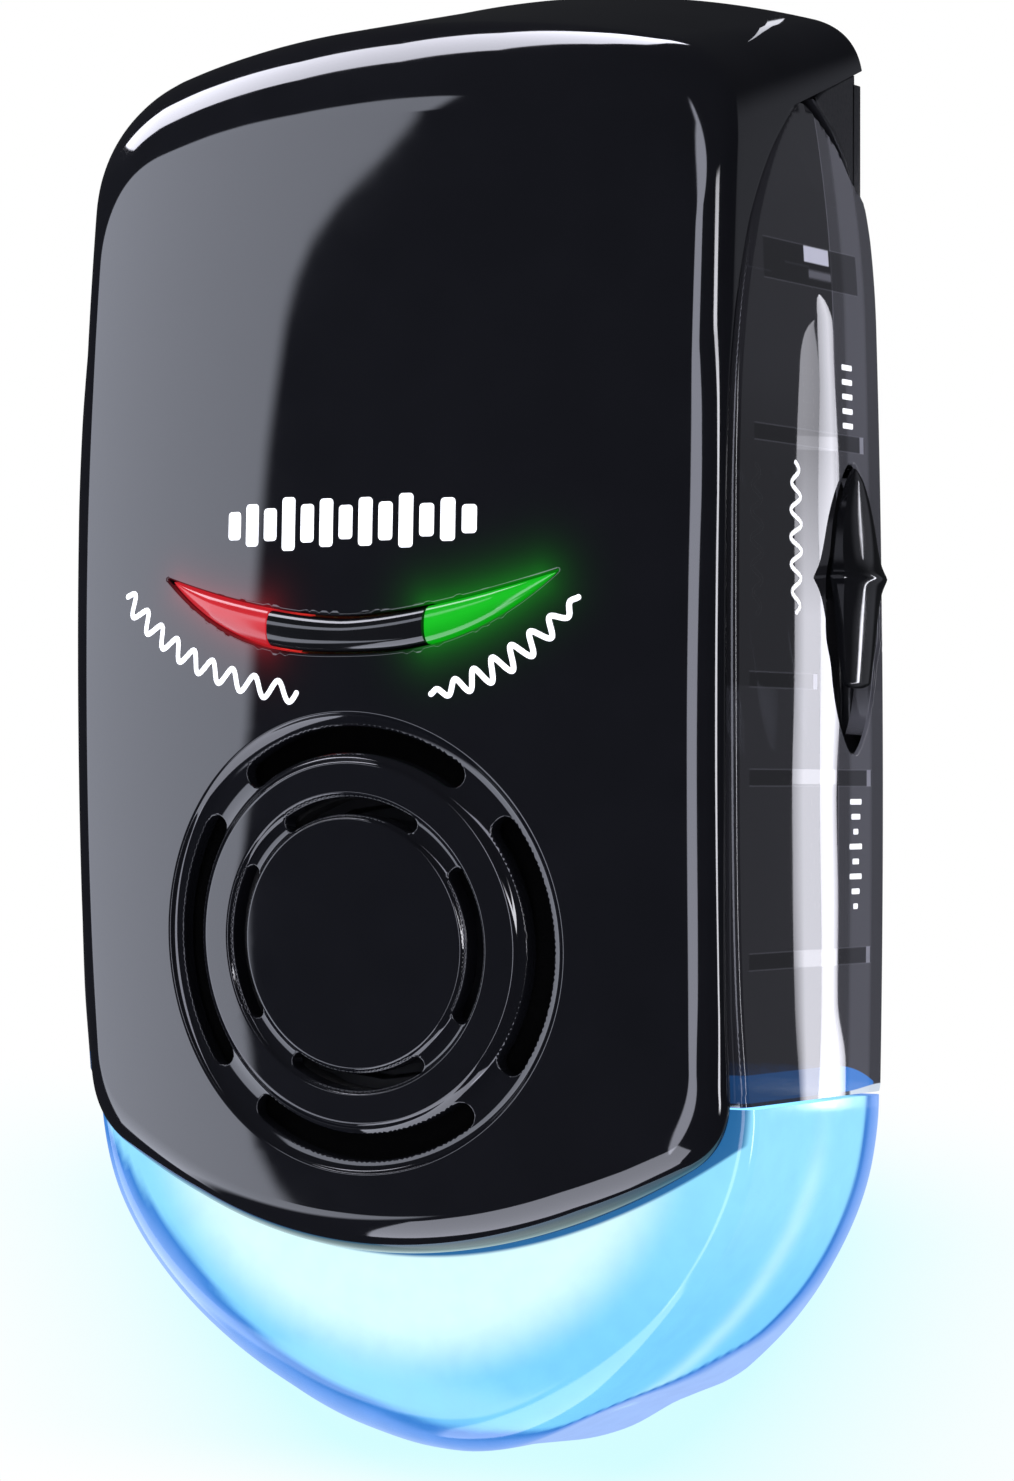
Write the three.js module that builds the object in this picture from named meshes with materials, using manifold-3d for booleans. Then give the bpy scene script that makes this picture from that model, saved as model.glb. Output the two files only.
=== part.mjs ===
// Plug-in ultrasonic pest repeller with a night light.
// Millimetres, +X right as seen from the front, +Y into the wall, +Z up. The origin is the
// centre of the plug on the wall face: the case lies at Y < 0, the blades reach into Y > 0.
//
// Parts are drawn in body coordinates: x as above, y = depth behind the front-most point,
// z = height above the body datum. place() turns these into the object's frame.
import * as THREE from 'three';
import { mergeVertices } from 'three/addons/utils/BufferGeometryUtils.js';
import Module from 'manifold-3d';

// ---------------------------------------------------------------- shared dimensions
const DEPTH = 37.5;          // front-most point of the cover to the wall face
const PLUG_Z = 20;           // plug centre above the body datum
const HALF_W = 34.65;        // half width of the front cover
const FACE_RX = 96.5;        // front face bow, side to side
const FACE_RZ = 424.6;       // front face bow, top to bottom
const FACE_ZC = 7.9;         // height of the front-most point
const TOP_Z = 67.8;          // crown of the top arch where it leaves the face
const TOP_R = 100;           // radius of the top arch
const TOP_SLOPE = 0.235;     // the top climbs towards the wall
const BOT_Z = -45.75;        // lowest point of the cover
const BOT_R = 52.4;          // radius of the cover's bottom edge
const SEAM_Z = -31.4;        // joint between side windows and night light
const WALL = 2.0;            // wall thickness of the shells
const GAP = 0.3;             // working gap between parts
const REAR_Y = 37.2;         // rear end of the side windows and the top
const POST_X = 26.8;         // case screw posts
const POST_Z = [44, -22];
const POSTS = [-1, 1].flatMap(side => POST_Z.map(z => [side * POST_X, z]));
const GRILLE_Z = -17.17;     // centre of the sound grille
const TAB_X = 15;            // the two tabs of the night light
const BOARD_Y = 23;          // front of the main board
const BOARD_T = 1.6;
const BOARD_SCREWS = [[-17, 47.5], [17, -20.5]];
const LABEL = { halfWidth: 20, bottom: -24, top: -5 };

// ---------------------------------------------------------------- materials
const FINISHES = {
  black: { color: 0x121316, roughness: 0.12 },
  rear: { color: 0x15161a, roughness: 0.35 },
  smoke: { color: 0x3a3c42, roughness: 0.1, transparent: true, opacity: 0.55 },
  lens: { color: 0x8fd8ff, roughness: 0.25, transparent: true, opacity: 0.8, emissive: 0x3fb4ff },
  redLens: { color: 0xc0202c, roughness: 0.2, emissive: 0x80101a },
  greenLens: { color: 0x14a81e, roughness: 0.2, emissive: 0x0a6a10 },
  button: { color: 0x0d0d0f, roughness: 0.2 },
  block: { color: 0x1c1c1f, roughness: 0.5 },
  nickel: { color: 0xc9c6bd, roughness: 0.28, metalness: 1 },
  steel: { color: 0xb8babd, roughness: 0.35, metalness: 1 },
  board: { color: 0x1f6b3a, roughness: 0.5 },
  chip: { color: 0x17181a, roughness: 0.45 },
  can: { color: 0x1d2c55, roughness: 0.35 },
  film: { color: 0xb2332b, roughness: 0.45 },
  copper: { color: 0xb26a34, roughness: 0.35, metalness: 1 },
  nylon: { color: 0xe6e2d6, roughness: 0.55 },
  ferrite: { color: 0x3a3a3c, roughness: 0.6 },
  foam: { color: 0x222224, roughness: 0.95 },
  cone: { color: 0x6b6f77, roughness: 0.45, metalness: 0.3 },
  brass: { color: 0xc8a24a, roughness: 0.3, metalness: 1 },
  redLamp: { color: 0xd23a3a, roughness: 0.2 },
  greenLamp: { color: 0x3fc24f, roughness: 0.2 },
  blueLamp: { color: 0xbfdcff, roughness: 0.15 },
  redWire: { color: 0xa02824, roughness: 0.5 },
  blackWire: { color: 0x1a1a1a, roughness: 0.5 },
  white: { color: 0xdfe8f2, roughness: 0.4 },
  ceramic: { color: 0xcdb78f, roughness: 0.5 },
  label: { color: 0xa9abae, roughness: 0.5 },
  glass: { color: 0xdfe3e2, roughness: 0.1 },
};
const finish = Object.fromEntries(Object.entries(FINISHES)
  .map(([name, settings]) => [name, new THREE.MeshStandardMaterial(settings)]));

// ---------------------------------------------------------------- solids
const wasm = await Module();
wasm.setup();

// turns a closed surface so that its faces point outwards
function outward(geometry) {
  const { position } = geometry.attributes;
  const index = geometry.index
    ? Array.from(geometry.index.array)
    : Array.from({ length: position.count }, (_, i) => i);
  const corner = i => new THREE.Vector3().fromBufferAttribute(position, index[i]);
  let volume = 0;
  for (let i = 0; i < index.length; i += 3) {
    volume += corner(i).dot(corner(i + 1).cross(corner(i + 2)));
  }
  if (volume < 0) {
    for (let i = 0; i < index.length; i += 3) {
      [index[i], index[i + 1]] = [index[i + 1], index[i]];
    }
    geometry.setIndex(index);
  }
  return geometry;
}

function toSolid(shape) {
  if (shape.getMesh) return shape;
  for (const key of Object.keys(shape.attributes)) {
    if (key !== 'position') shape.deleteAttribute(key);
  }
  const merged = outward(mergeVertices(shape, 1e-4));
  const index = merged.index.array;
  const tris = [];
  for (let i = 0; i < index.length; i += 3) {
    const [a, b, c] = index.slice(i, i + 3);
    if (a !== b && b !== c && a !== c) tris.push(a, b, c);
  }
  return new wasm.Manifold(new wasm.Mesh({
    numProp: 3,
    vertProperties: new Float32Array(merged.attributes.position.array),
    triVerts: new Uint32Array(tris),
  }));
}

function toGeometry(solid) {
  const mesh = solid.getMesh();
  const geometry = new THREE.BufferGeometry();
  const positions = new Float32Array(mesh.vertProperties);
  geometry.setAttribute('position', new THREE.BufferAttribute(positions, 3));
  geometry.setIndex(new THREE.BufferAttribute(new Uint32Array(mesh.triVerts), 1));
  geometry.computeVertexNormals();
  return geometry;
}

// both take solids or closed geometries
const union = (...shapes) => shapes.map(toSolid).reduce((sum, next) => sum.add(next));
const cut = (...shapes) => shapes.map(toSolid).reduce((rest, tool) => rest.subtract(tool));

const object = new THREE.Group();
object.name = 'pest_repeller';

function add(name, shape, material) {
  const mesh = new THREE.Mesh(shape.getMesh ? toGeometry(shape) : outward(shape), material);
  mesh.name = name;
  object.add(mesh);
}

// ---------------------------------------------------------------- basic shapes
const clamp01 = value => Math.min(1, Math.max(0, value));
const place = (x, y, z) => [x, y - DEPTH, z - PLUG_Z];
// x range on the right (side 1), or its mirror image on the left (side -1)
const span = (side, near, far) => (side > 0 ? [near, far] : [-far, -near]);

function fromPoints(points, tris) {
  const geometry = new THREE.BufferGeometry();
  const positions = new Float32Array(points.flatMap(point => place(...point)));
  geometry.setAttribute('position', new THREE.BufferAttribute(positions, 3));
  geometry.setIndex(tris);
  return geometry;
}

// adds four-sided faces to tris; side -1 winds them the other way round
const quadWriter = (tris, side = 1) => (a, b, c, d) => (
  side > 0 ? tris.push(a, b, c, a, c, d) : tris.push(a, c, b, a, d, c));

function box(left, right, front, back, bottom, top) {
  const geometry = new THREE.BoxGeometry(right - left, back - front, top - bottom);
  geometry.translate(...place((left + right) / 2, (front + back) / 2, (bottom + top) / 2));
  return geometry;
}

function cylinderX(y, z, radius, left, right, segments) {
  const geometry = new THREE.CylinderGeometry(radius, radius, right - left, segments);
  geometry.rotateZ(-Math.PI / 2);
  geometry.translate(...place((left + right) / 2, y, z));
  return geometry;
}

function cylinderY(x, z, radius, front, back, segments) {
  const geometry = new THREE.CylinderGeometry(radius, radius, back - front, segments);
  geometry.translate(...place(x, (front + back) / 2, z));
  return geometry;
}

function cylinderZ(x, y, radius, bottom, top, segments) {
  const geometry = new THREE.CylinderGeometry(radius, radius, top - bottom, segments);
  geometry.rotateX(Math.PI / 2);
  geometry.translate(...place(x, y, (bottom + top) / 2));
  return geometry;
}

// outline of [x, z] extruded from depth front to back
function plateXZ(outline, front, back) {
  const shape = new THREE.Shape(outline.map(([x, z]) => new THREE.Vector2(x, z)));
  const geometry = new THREE.ExtrudeGeometry(shape, { depth: back - front, bevelEnabled: false });
  geometry.rotateX(Math.PI / 2);
  geometry.translate(...place(0, back, 0));
  return geometry;
}

// outline of [y, z] extruded from x = left to right
function plateYZ(outline, left, right) {
  const shape = new THREE.Shape(
    outline.map(([y, z]) => new THREE.Vector2(y - DEPTH, z - PLUG_Z)));
  const geometry = new THREE.ExtrudeGeometry(shape, { depth: right - left, bevelEnabled: false });
  geometry.applyMatrix4(new THREE.Matrix4().makeBasis(
    new THREE.Vector3(0, 1, 0), new THREE.Vector3(0, 0, 1), new THREE.Vector3(1, 0, 0)));
  geometry.translate(left, 0, 0);
  return geometry;
}

// profile of [radius, y] turned about the line through x, z parallel to Y
function latheY(profile, x, z, segments) {
  const points = profile.map(([radius, y]) => new THREE.Vector2(radius, -y));
  const geometry = new THREE.LatheGeometry(points, segments);
  geometry.rotateX(Math.PI);
  geometry.translate(...place(x, 0, z));
  return geometry;
}

function wire(points, radius, steps) {
  const SIDES = 6;
  const path = new THREE.CatmullRomCurve3(
    points.map(point => new THREE.Vector3(...place(...point))));
  const section = new THREE.Shape(Array.from({ length: SIDES }, (_, i) => {
    const angle = 2 * Math.PI * i / SIDES;
    return new THREE.Vector2(radius * Math.cos(angle), radius * Math.sin(angle));
  }));
  return new THREE.ExtrudeGeometry(section, { steps, extrudePath: path, bevelEnabled: false });
}

// ---------------------------------------------------------------- body surfaces
const faceY = (x, z) => x * x / (2 * FACE_RX) + (z - FACE_ZC) ** 2 / (2 * FACE_RZ);
const coverHalf = z => HALF_W - (z - 20) ** 2 / 4400;
const topZ = y => TOP_Z + TOP_SLOPE * (y - 11);
// how far y has come along the flank, 0 at its front and 1 at its rear
const flankShare = y => (y - 9) / 28;

// rear edge of the cover's flank, seen from the side: [z, depth]
const EDGE = [
  [-60, 10.4], [-45.7, 10.4], [-38, 11.3], [-31.4, 11.0], [-21.7, 9.8], [-12.9, 9.3],
  [-4, 9.1], [13.7, 9.1], [22.5, 9.4], [31.5, 10.6], [38.8, 12.9], [47.2, 15.9],
  [53.9, 18.9], [57.8, 21.4], [60.4, 24.0], [61.6, 25.6], [62.7, 26.9], [63.6, 29.0],
  [63.95, 31.5], [64.1, 37.2], [90, 37.2],
];
function interpolate(table, value) {
  if (value <= table[0][0]) return table[0][1];
  for (let i = 1; i < table.length; i++) {
    const [start, from] = table[i - 1];
    const [end, to] = table[i];
    if (value <= end) return from + (value - start) / (end - start) * (to - from);
  }
  return table[table.length - 1][1];
}
const edgeY = z => interpolate(EDGE, z);

// outer half width of the side windows, with a rounded front edge
const windowRear = z => 36.35 - (z + 5) ** 2 / 2800 - Math.max(0, z - 40) ** 2 * 0.005;
const windowFront = z => 35.4 - Math.max(0, z - 20) ** 2 * 0.0007;
function windowHalf(y, z) {
  const ROUNDING = 1.6;
  const ROUNDING_DROP = 1.2;
  const flat = windowFront(z) + (windowRear(z) - windowFront(z)) * flankShare(y);
  const bend = clamp01((edgeY(z) + GAP + ROUNDING - y) / ROUNDING);
  return flat - ROUNDING_DROP * (1 - Math.sqrt(1 - bend * bend));
}

// stations of the cover's right half outline, bottom centre to top centre:
// [stretch, share of the stretch]
const STRETCH_STEPS = { bottom: 8, lowerCorner: 4, side: 13, upperCorner: 5, top: 6 };
const STATIONS = [['bottom', 0]];
for (const [stretch, steps] of Object.entries(STRETCH_STEPS)) {
  for (let i = 1; i <= steps; i++) STATIONS.push([stretch, i / steps]);
}
const bezier = (start, control, end, t) => [0, 1].map(
  k => (1 - t) ** 2 * start[k] + 2 * t * (1 - t) * control[k] + t * t * end[k]);

// [x, z, topness] of a station at depth y; topness rises from 0 to 1 round the upper corner
function outlineAt(station, y) {
  const LOWER_CORNER = { startX: 30.4, controlZ: -34.65, endZ: -30.4 };
  const UPPER_CORNER_X = 34.25;
  const [stretch, t] = STATIONS[station];
  const bottomZ = x => BOT_Z + x * x / (2 * BOT_R);
  const archZ = x => topZ(y) - x * x / (2 * TOP_R);
  const { startX, controlZ, endZ } = LOWER_CORNER;
  if (stretch === 'bottom') return [startX * t, bottomZ(startX * t), 0];
  if (stretch === 'lowerCorner') {
    const start = [startX, bottomZ(startX)];
    return [...bezier(start, [coverHalf(controlZ), controlZ], [coverHalf(endZ), endZ], t), 0];
  }
  const cornerSize = 8.5 - 3.5 * clamp01(flankShare(y));
  const cornerZ = archZ(UPPER_CORNER_X);
  const sideTopZ = cornerZ - cornerSize;
  if (stretch === 'side') {
    const share = t < 0.5 ? t * 1.1 : 0.55 + (t - 0.5) * 0.9;   // closer rows towards the top
    const z = endZ + (sideTopZ - endZ) * share;
    return [coverHalf(z), z, 0];
  }
  const archX = UPPER_CORNER_X - cornerSize;
  if (stretch === 'upperCorner') {
    const point = bezier([coverHalf(sideTopZ), sideTopZ], [coverHalf(cornerZ), cornerZ],
      [archX, archZ(archX)], t);
    return [...point, t * t * (3 - 2 * t)];
  }
  const x = archX * (1 - t);
  return [x, archZ(x), 1];
}

function bottomness(station) {
  const [stretch, t] = STATIONS[station];
  if (stretch === 'bottom') return 1;
  return stretch === 'lowerCorner' ? 1 - t : 0;
}

const ROUNDING_STEPS = [1, 0.577, 0.293, 0.1, 0];   // inset across a rounded front edge
const roundedDrop = reach => 1 - Math.sqrt(1 - reach * reach);

// ---------------------------------------------------------------- front cover
const FACE_STEPS = [0.4, 0.75];   // rings on the face, as shares of the way to the rounding
const FLANK_STEPS = 2;

// points of the outer skin at one station, from the face back to the flank's rear edge
function coverColumn(station) {
  const topness = outlineAt(station, 20)[2];
  const fullReach = 1 - 0.024 * topness;
  let roundDepth = 2.4 + topness * 5.6 + bottomness(station) * 2.6;
  if (topness === 0) {
    const [x, z] = outlineAt(station, 9);
    roundDepth = Math.min(roundDepth, edgeY(z) - 0.35 - faceY(x, z));
  }
  // depth where the rounding meets the flank
  let flankY = 10;
  for (let k = 0; k < 4; k++) {
    const [x, z] = outlineAt(station, flankY);
    flankY = faceY(x, z) + roundDepth * roundedDrop(fullReach);
  }
  // depth of the rear edge, by bisection
  let low = flankY + 0.15;
  let high = REAR_Y;
  for (let k = 0; k < 40; k++) {
    const middle = (low + high) / 2;
    if (middle < edgeY(outlineAt(station, middle)[1])) low = middle;
    else high = middle;
  }
  const endY = Math.max(low, flankY + 0.2);

  const [flankX, flankZ] = outlineAt(station, flankY);
  const insetX = 0.075;
  const insetZ = flankZ > FACE_ZC ? 0.156 : 0.075;
  const inset = share => [
    flankX * (1 - share * insetX),
    FACE_ZC + (flankZ - FACE_ZC) * (1 - share * insetZ),
  ];
  const points = [];
  const [innerX, innerZ] = inset(1);
  for (const share of FACE_STEPS) {
    const x = innerX * share;
    const z = FACE_ZC + (innerZ - FACE_ZC) * share;
    points.push([x, faceY(x, z), z]);
  }
  for (const share of ROUNDING_STEPS) {
    const [x, z] = inset(share);
    points.push([x, faceY(x, z) + roundDepth * roundedDrop((1 - share) * fullReach), z]);
  }
  for (let k = 1; k <= FLANK_STEPS; k++) {
    const y = flankY + (endY - flankY) * k / FLANK_STEPS;
    const [x, z] = outlineAt(station, y);
    points.push([x, y, z]);
  }
  return { points, endY };
}

// outward direction [x, z] of the outline at each station
function outlineNormals() {
  const outline = STATIONS.map((_, i) => outlineAt(i, 20));
  const last = outline.length - 1;
  return outline.map((_, i) => {
    if (i === 0) return [0, -1];
    if (i === last) return [0, 1];
    const before = outline[i - 1];
    const after = outline[i + 1];
    const length = Math.hypot(after[0] - before[0], after[1] - before[1]);
    return [(after[1] - before[1]) / length, -(after[0] - before[0]) / length];
  });
}

function coverShell() {
  const half = outlineNormals().map((normal, i) => ({ ...coverColumn(i), normal }));
  const mirrored = half.slice(1, -1).reverse().map(({ points, endY, normal }) => ({
    endY,
    normal: [-normal[0], normal[1]],
    points: points.map(([x, y, z]) => [-x, y, z]),
  }));
  const columns = [...half, ...mirrored];
  const count = columns.length;
  const last = columns[0].points.length - 1;
  const vertices = [[0, 0, FACE_ZC]];
  for (let k = 0; k <= last; k++) {
    for (const column of columns) vertices.push(column.points[k]);
  }
  const inner = vertices.length;
  vertices.push([0, WALL, FACE_ZC]);
  for (let k = 0; k <= last; k++) {
    const shift = WALL * (FACE_STEPS[k] ?? 1);
    for (const { points, endY, normal } of columns) {
      const [x, y, z] = points[k];
      const innerEnd = Math.min(endY, edgeY(points[last][2] - WALL * normal[1]));
      // keeps the rings in order where the flank is short
      const innerY = k === last ? innerEnd : Math.min(y + WALL, innerEnd - 0.03 * (last - k));
      vertices.push([x - shift * normal[0], innerY, z - shift * normal[1]]);
    }
  }
  const tris = [];
  const quad = quadWriter(tris);
  const at = (skin, k, j) => skin + 1 + k * count + j % count;
  for (let j = 0; j < count; j++) {
    tris.push(0, at(0, 0, j), at(0, 0, j + 1));
    tris.push(inner, at(inner, 0, j + 1), at(inner, 0, j));
    for (let k = 0; k < last; k++) {
      quad(at(0, k, j), at(0, k + 1, j), at(0, k + 1, j + 1), at(0, k, j + 1));
      quad(at(inner, k, j), at(inner, k, j + 1), at(inner, k + 1, j + 1), at(inner, k + 1, j));
    }
    quad(at(0, last, j), at(inner, last, j), at(inner, last, j + 1), at(0, last, j + 1));
  }
  return fromPoints(vertices, tris);
}

// crescent of the indicator between x = left and right, shrunk by margin above and below
const SMILE_X = 21;
const smileLow = x => 9.1 + 7.4 * Math.abs(x / SMILE_X) ** 2.6;
const smileTop = x => 12.5 + 4.0 * Math.abs(x / SMILE_X) ** 1.6;
function smile(left, right, margin, steps) {
  const points = [];
  const xAt = i => left + (right - left) * i / steps;
  for (let i = 0; i <= steps; i++) points.push([xAt(i), smileLow(xAt(i)) + margin]);
  for (let i = steps; i >= 0; i--) {
    const x = xAt(i);
    const z = smileTop(x) - margin;
    if (z - smileLow(x) - margin > 0.05) points.push([x, z]);
  }
  return points;
}

// four curved slots make each ring of the grille
const GRILLE_RINGS = [
  { radius: 18.55, width: 2.4, halfAngle: 37.7, steps: 9 },
  { radius: 12.55, width: 1.5, halfAngle: 33.3, steps: 7 },
];
function arcSlot({ radius, width, halfAngle, steps }, middle) {
  const half = halfAngle * Math.PI / 180;
  const arc = r => Array.from({ length: steps + 1 }, (_, i) => {
    const angle = middle - half + 2 * half * i / steps;
    return [r * Math.cos(angle), GRILLE_Z + r * Math.sin(angle)];
  });
  return [...arc(radius + width / 2), ...arc(radius - width / 2).reverse()];
}

function frontCover() {
  const throughFace = outline => plateXZ(outline, -2, 9);
  let cover = toSolid(coverShell());
  for (let quarter = 0; quarter < 4; quarter++) {
    for (const ring of GRILLE_RINGS) {
      cover = cut(cover, throughFace(arcSlot(ring, quarter * Math.PI / 2)));
    }
  }
  cover = cut(cover, throughFace(smile(-SMILE_X + 0.2, SMILE_X - 0.2, 0, 14)));
  for (const [x, z] of POSTS) {
    cover = union(cover, cylinderY(x, z, 3.0, faceY(POST_X, z) + 1.0, 34.7, 14));
    cover = cut(cover, cylinderY(x, z, 1.5, 19, 36, 10));
  }
  return cover;
}
add('front_cover', frontCover(), finish.black);

// ---------------------------------------------------------------- indicator
function indicatorPiece(left, right) {
  const front = faceY((left + right) / 2, 11) + 0.35;
  const back = faceY(Math.max(Math.abs(left), Math.abs(right)), 12) + 2.6;
  return toSolid(plateXZ(smile(left, right, 0.25, 8), front, back));
}
add('indicator_bar', indicatorPiece(-8.3, 8.3), finish.button);
add('red_indicator_lens', indicatorPiece(-19.2, -8.7), finish.redLens);
add('green_indicator_lens', indicatorPiece(8.7, 19.2), finish.greenLens);

// ---------------------------------------------------------------- side windows
const BUTTON = { y: 31.2, z: 16.4, halfLength: 10.2, halfWidth: 5.0, travel: 5.6 };
BUTTON.top = BUTTON.z + BUTTON.halfLength;
BUTTON.lowest = BUTTON.z - BUTTON.halfLength - BUTTON.travel;   // bottom end when slid down

// half width of the button at u, -1 at its lower end and 1 at its upper end
function buttonHalf(u) {
  const reach = Math.min(1, Math.abs(u));
  const body = 0.82 * Math.pow(1 - Math.pow(reach, 2.1), 0.75);
  return BUTTON.halfWidth * (body + 0.18 * Math.max(0, 1 - reach * 5));
}

// [y, z] outline swept by the button over its travel, widened by margin
function slotOutline(margin) {
  const STEPS = 22;
  const POSITIONS = 8;
  const END_HALF = 0.35;
  const top = BUTTON.top + margin;
  const bottom = BUTTON.lowest - margin;
  const halfAt = z => {
    let widest = 0;
    for (let k = 0; k <= POSITIONS; k++) {
      const middle = BUTTON.z - BUTTON.travel * k / POSITIONS;
      const u = (z - middle) / (BUTTON.halfLength + margin);
      if (Math.abs(u) < 1) widest = Math.max(widest, buttonHalf(u));
    }
    return widest + margin;
  };
  const rows = Array.from({ length: STEPS + 1 }, (_, i) => {
    const z = bottom + (top - bottom) * (0.5 - 0.5 * Math.cos(Math.PI * i / STEPS));
    return [i === 0 || i === STEPS ? END_HALF : halfAt(z), z];
  });
  return [
    ...rows.map(([half, z]) => [BUTTON.y - half, z]),
    ...rows.reverse().map(([half, z]) => [BUTTON.y + half, z]),
  ];
}

// rear edge of the window's pointed head: [z, depth]
const HEAD_EDGE = [
  [48.5, 37.2], [51.6, 36.9], [54.0, 34.4], [56.0, 32.9], [57.6, 31.0], [58.9, 28.8],
  [60.0, 26.6],
];
const WINDOW_ROWS = [
  SEAM_Z + 0.1, -27, -22, -16, -10, -4, 2, 8, 14, 20, 26, 32, 38, 43, 47, 50, 52.5, 55, 57.3,
  59.0, 59.9,
];
// columns across the depth, as shares; the first ones are close, for the rounded edge
const WINDOW_COLUMNS = [0, 0.025, 0.07, ...[1, 2, 3, 4, 5].map(k => 0.07 + 0.93 * k / 5)];
const INNER_LIMIT = 32.0;   // the window's inner face stays outside this x

function windowShell(side) {
  const last = WINDOW_COLUMNS.length - 1;
  const lastRow = WINDOW_ROWS.length - 1;
  const vertices = [];
  for (const z of WINDOW_ROWS) {
    const front = edgeY(z) + GAP;
    const back = interpolate(HEAD_EDGE, z);
    for (const isInner of [false, true]) {
      for (const share of WINDOW_COLUMNS) {
        const y = front + (back - front) * share;
        const outerX = windowHalf(y, z);
        vertices.push([side * (isInner ? Math.max(INNER_LIMIT, outerX - WALL) : outerX), y, z]);
      }
    }
  }
  const tris = [];
  const quad = quadWriter(tris, side);
  const at = (row, layer, c) => (row * 2 + layer) * (last + 1) + c;
  for (let r = 0; r < lastRow; r++) {
    for (let c = 0; c < last; c++) {
      quad(at(r, 0, c), at(r, 0, c + 1), at(r + 1, 0, c + 1), at(r + 1, 0, c));
      quad(at(r, 1, c + 1), at(r, 1, c), at(r + 1, 1, c), at(r + 1, 1, c + 1));
    }
    quad(at(r, 1, 0), at(r, 0, 0), at(r + 1, 0, 0), at(r + 1, 1, 0));
    quad(at(r, 0, last), at(r, 1, last), at(r + 1, 1, last), at(r + 1, 0, last));
  }
  for (let c = 0; c < last; c++) {
    quad(at(0, 1, c), at(0, 1, c + 1), at(0, 0, c + 1), at(0, 0, c));
    quad(at(lastRow, 0, c), at(lastRow, 0, c + 1), at(lastRow, 1, c + 1), at(lastRow, 1, c));
  }
  return fromPoints(vertices, tris);
}

// horizontal ribs on the inside of each window: [z, front, back]
const RIBS = [
  [44, 16.9, 34.0], [27.5, 12.3, 23.7], [8.6, 12.0, 23.5], [-1.6, 12.1, 23.6],
  [-16.7, 12.4, 34.1],
];
function rib(side, z, front, back) {
  const STEPS = 3;
  const HALF_T = 0.6;
  const INNER_X = 31.4;
  const vertices = [];
  for (let i = 0; i <= STEPS; i++) {
    const y = front + (back - front) * i / STEPS;
    const outerX = windowHalf(y, z) - 1.0;
    vertices.push(
      [side * INNER_X, y, z - HALF_T], [side * outerX, y, z - HALF_T],
      [side * outerX, y, z + HALF_T], [side * INNER_X, y, z + HALF_T]);
  }
  const tris = [];
  const quad = quadWriter(tris, side);
  for (let i = 0; i < STEPS; i++) {
    for (let k = 0; k < 4; k++) {
      const next = (k + 1) % 4;
      quad(i * 4 + k, i * 4 + next, i * 4 + 4 + next, i * 4 + 4 + k);
    }
  }
  const end = STEPS * 4;
  quad(3, 2, 1, 0);
  quad(end, end + 1, end + 2, end + 3);
  return fromPoints(vertices, tris);
}

for (const [side, name] of [[1, 'side_window_right'], [-1, 'side_window_left']]) {
  const ribbed = union(windowShell(side), ...RIBS.map(row => rib(side, ...row)));
  const slot = plateYZ(slotOutline(0.35), ...span(side, 30, 40));
  add(name, cut(ribbed, slot), finish.smoke);
}

// ---------------------------------------------------------------- night light bowl
const LENS_DROP = 31.3;           // height of the bowl below the joint, at y = 0
const LENS_TOP = SEAM_Z - 0.2;
const LENS_STEPS = 26;            // around the half circle from +X through the bottom to -X
const lensFaceY = (x, z) => 10.95 + x * x / 1800 + Math.max(0, -46 - z) ** 2 / 150;

// points from the face, over the rounding, along the flank and in over the back;
// offset moves the skin inwards
function lensColumn(angle, offset) {
  const backY = 37.1 - offset;
  const flankAt = y => [
    (windowHalf(Math.max(13.2, y), SEAM_Z) - offset) * Math.cos(angle),
    LENS_TOP - (LENS_DROP + 0.08 * y - offset) * Math.sin(angle),
  ];
  const rounding = 1.5 + 2.1 * Math.sin(angle) - offset * 0.55;
  const flankY = lensFaceY(...flankAt(16)) + rounding + offset * 0.9;
  const [flankX, flankZ] = flankAt(flankY);
  const roundDepth = flankY - lensFaceY(flankX, flankZ) - offset;
  const scaled = (x, z, scale) => [x * scale, LENS_TOP + (z - LENS_TOP) * scale];
  const inset = share => scaled(flankX, flankZ, 1 - share * rounding / 33);
  const points = [];
  for (const share of [0.35, 0.7]) {
    const [x, z] = scaled(...inset(1), share);
    points.push([x, lensFaceY(x, z) + offset, z]);
  }
  for (const share of ROUNDING_STEPS) {
    const [x, z] = inset(share);
    points.push([x, lensFaceY(x, z) + offset + roundedDrop(1 - share) * roundDepth, z]);
  }
  for (const share of [0.33, 0.66, 1]) {
    const y = flankY + (backY - flankY) * share;
    const [x, z] = flankAt(y);
    points.push([x, y, z]);
  }
  for (const share of [0.6, 0.3]) {
    const [x, z] = scaled(...flankAt(backY), share);
    points.push([x, backY, z]);
  }
  return points;
}

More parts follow.
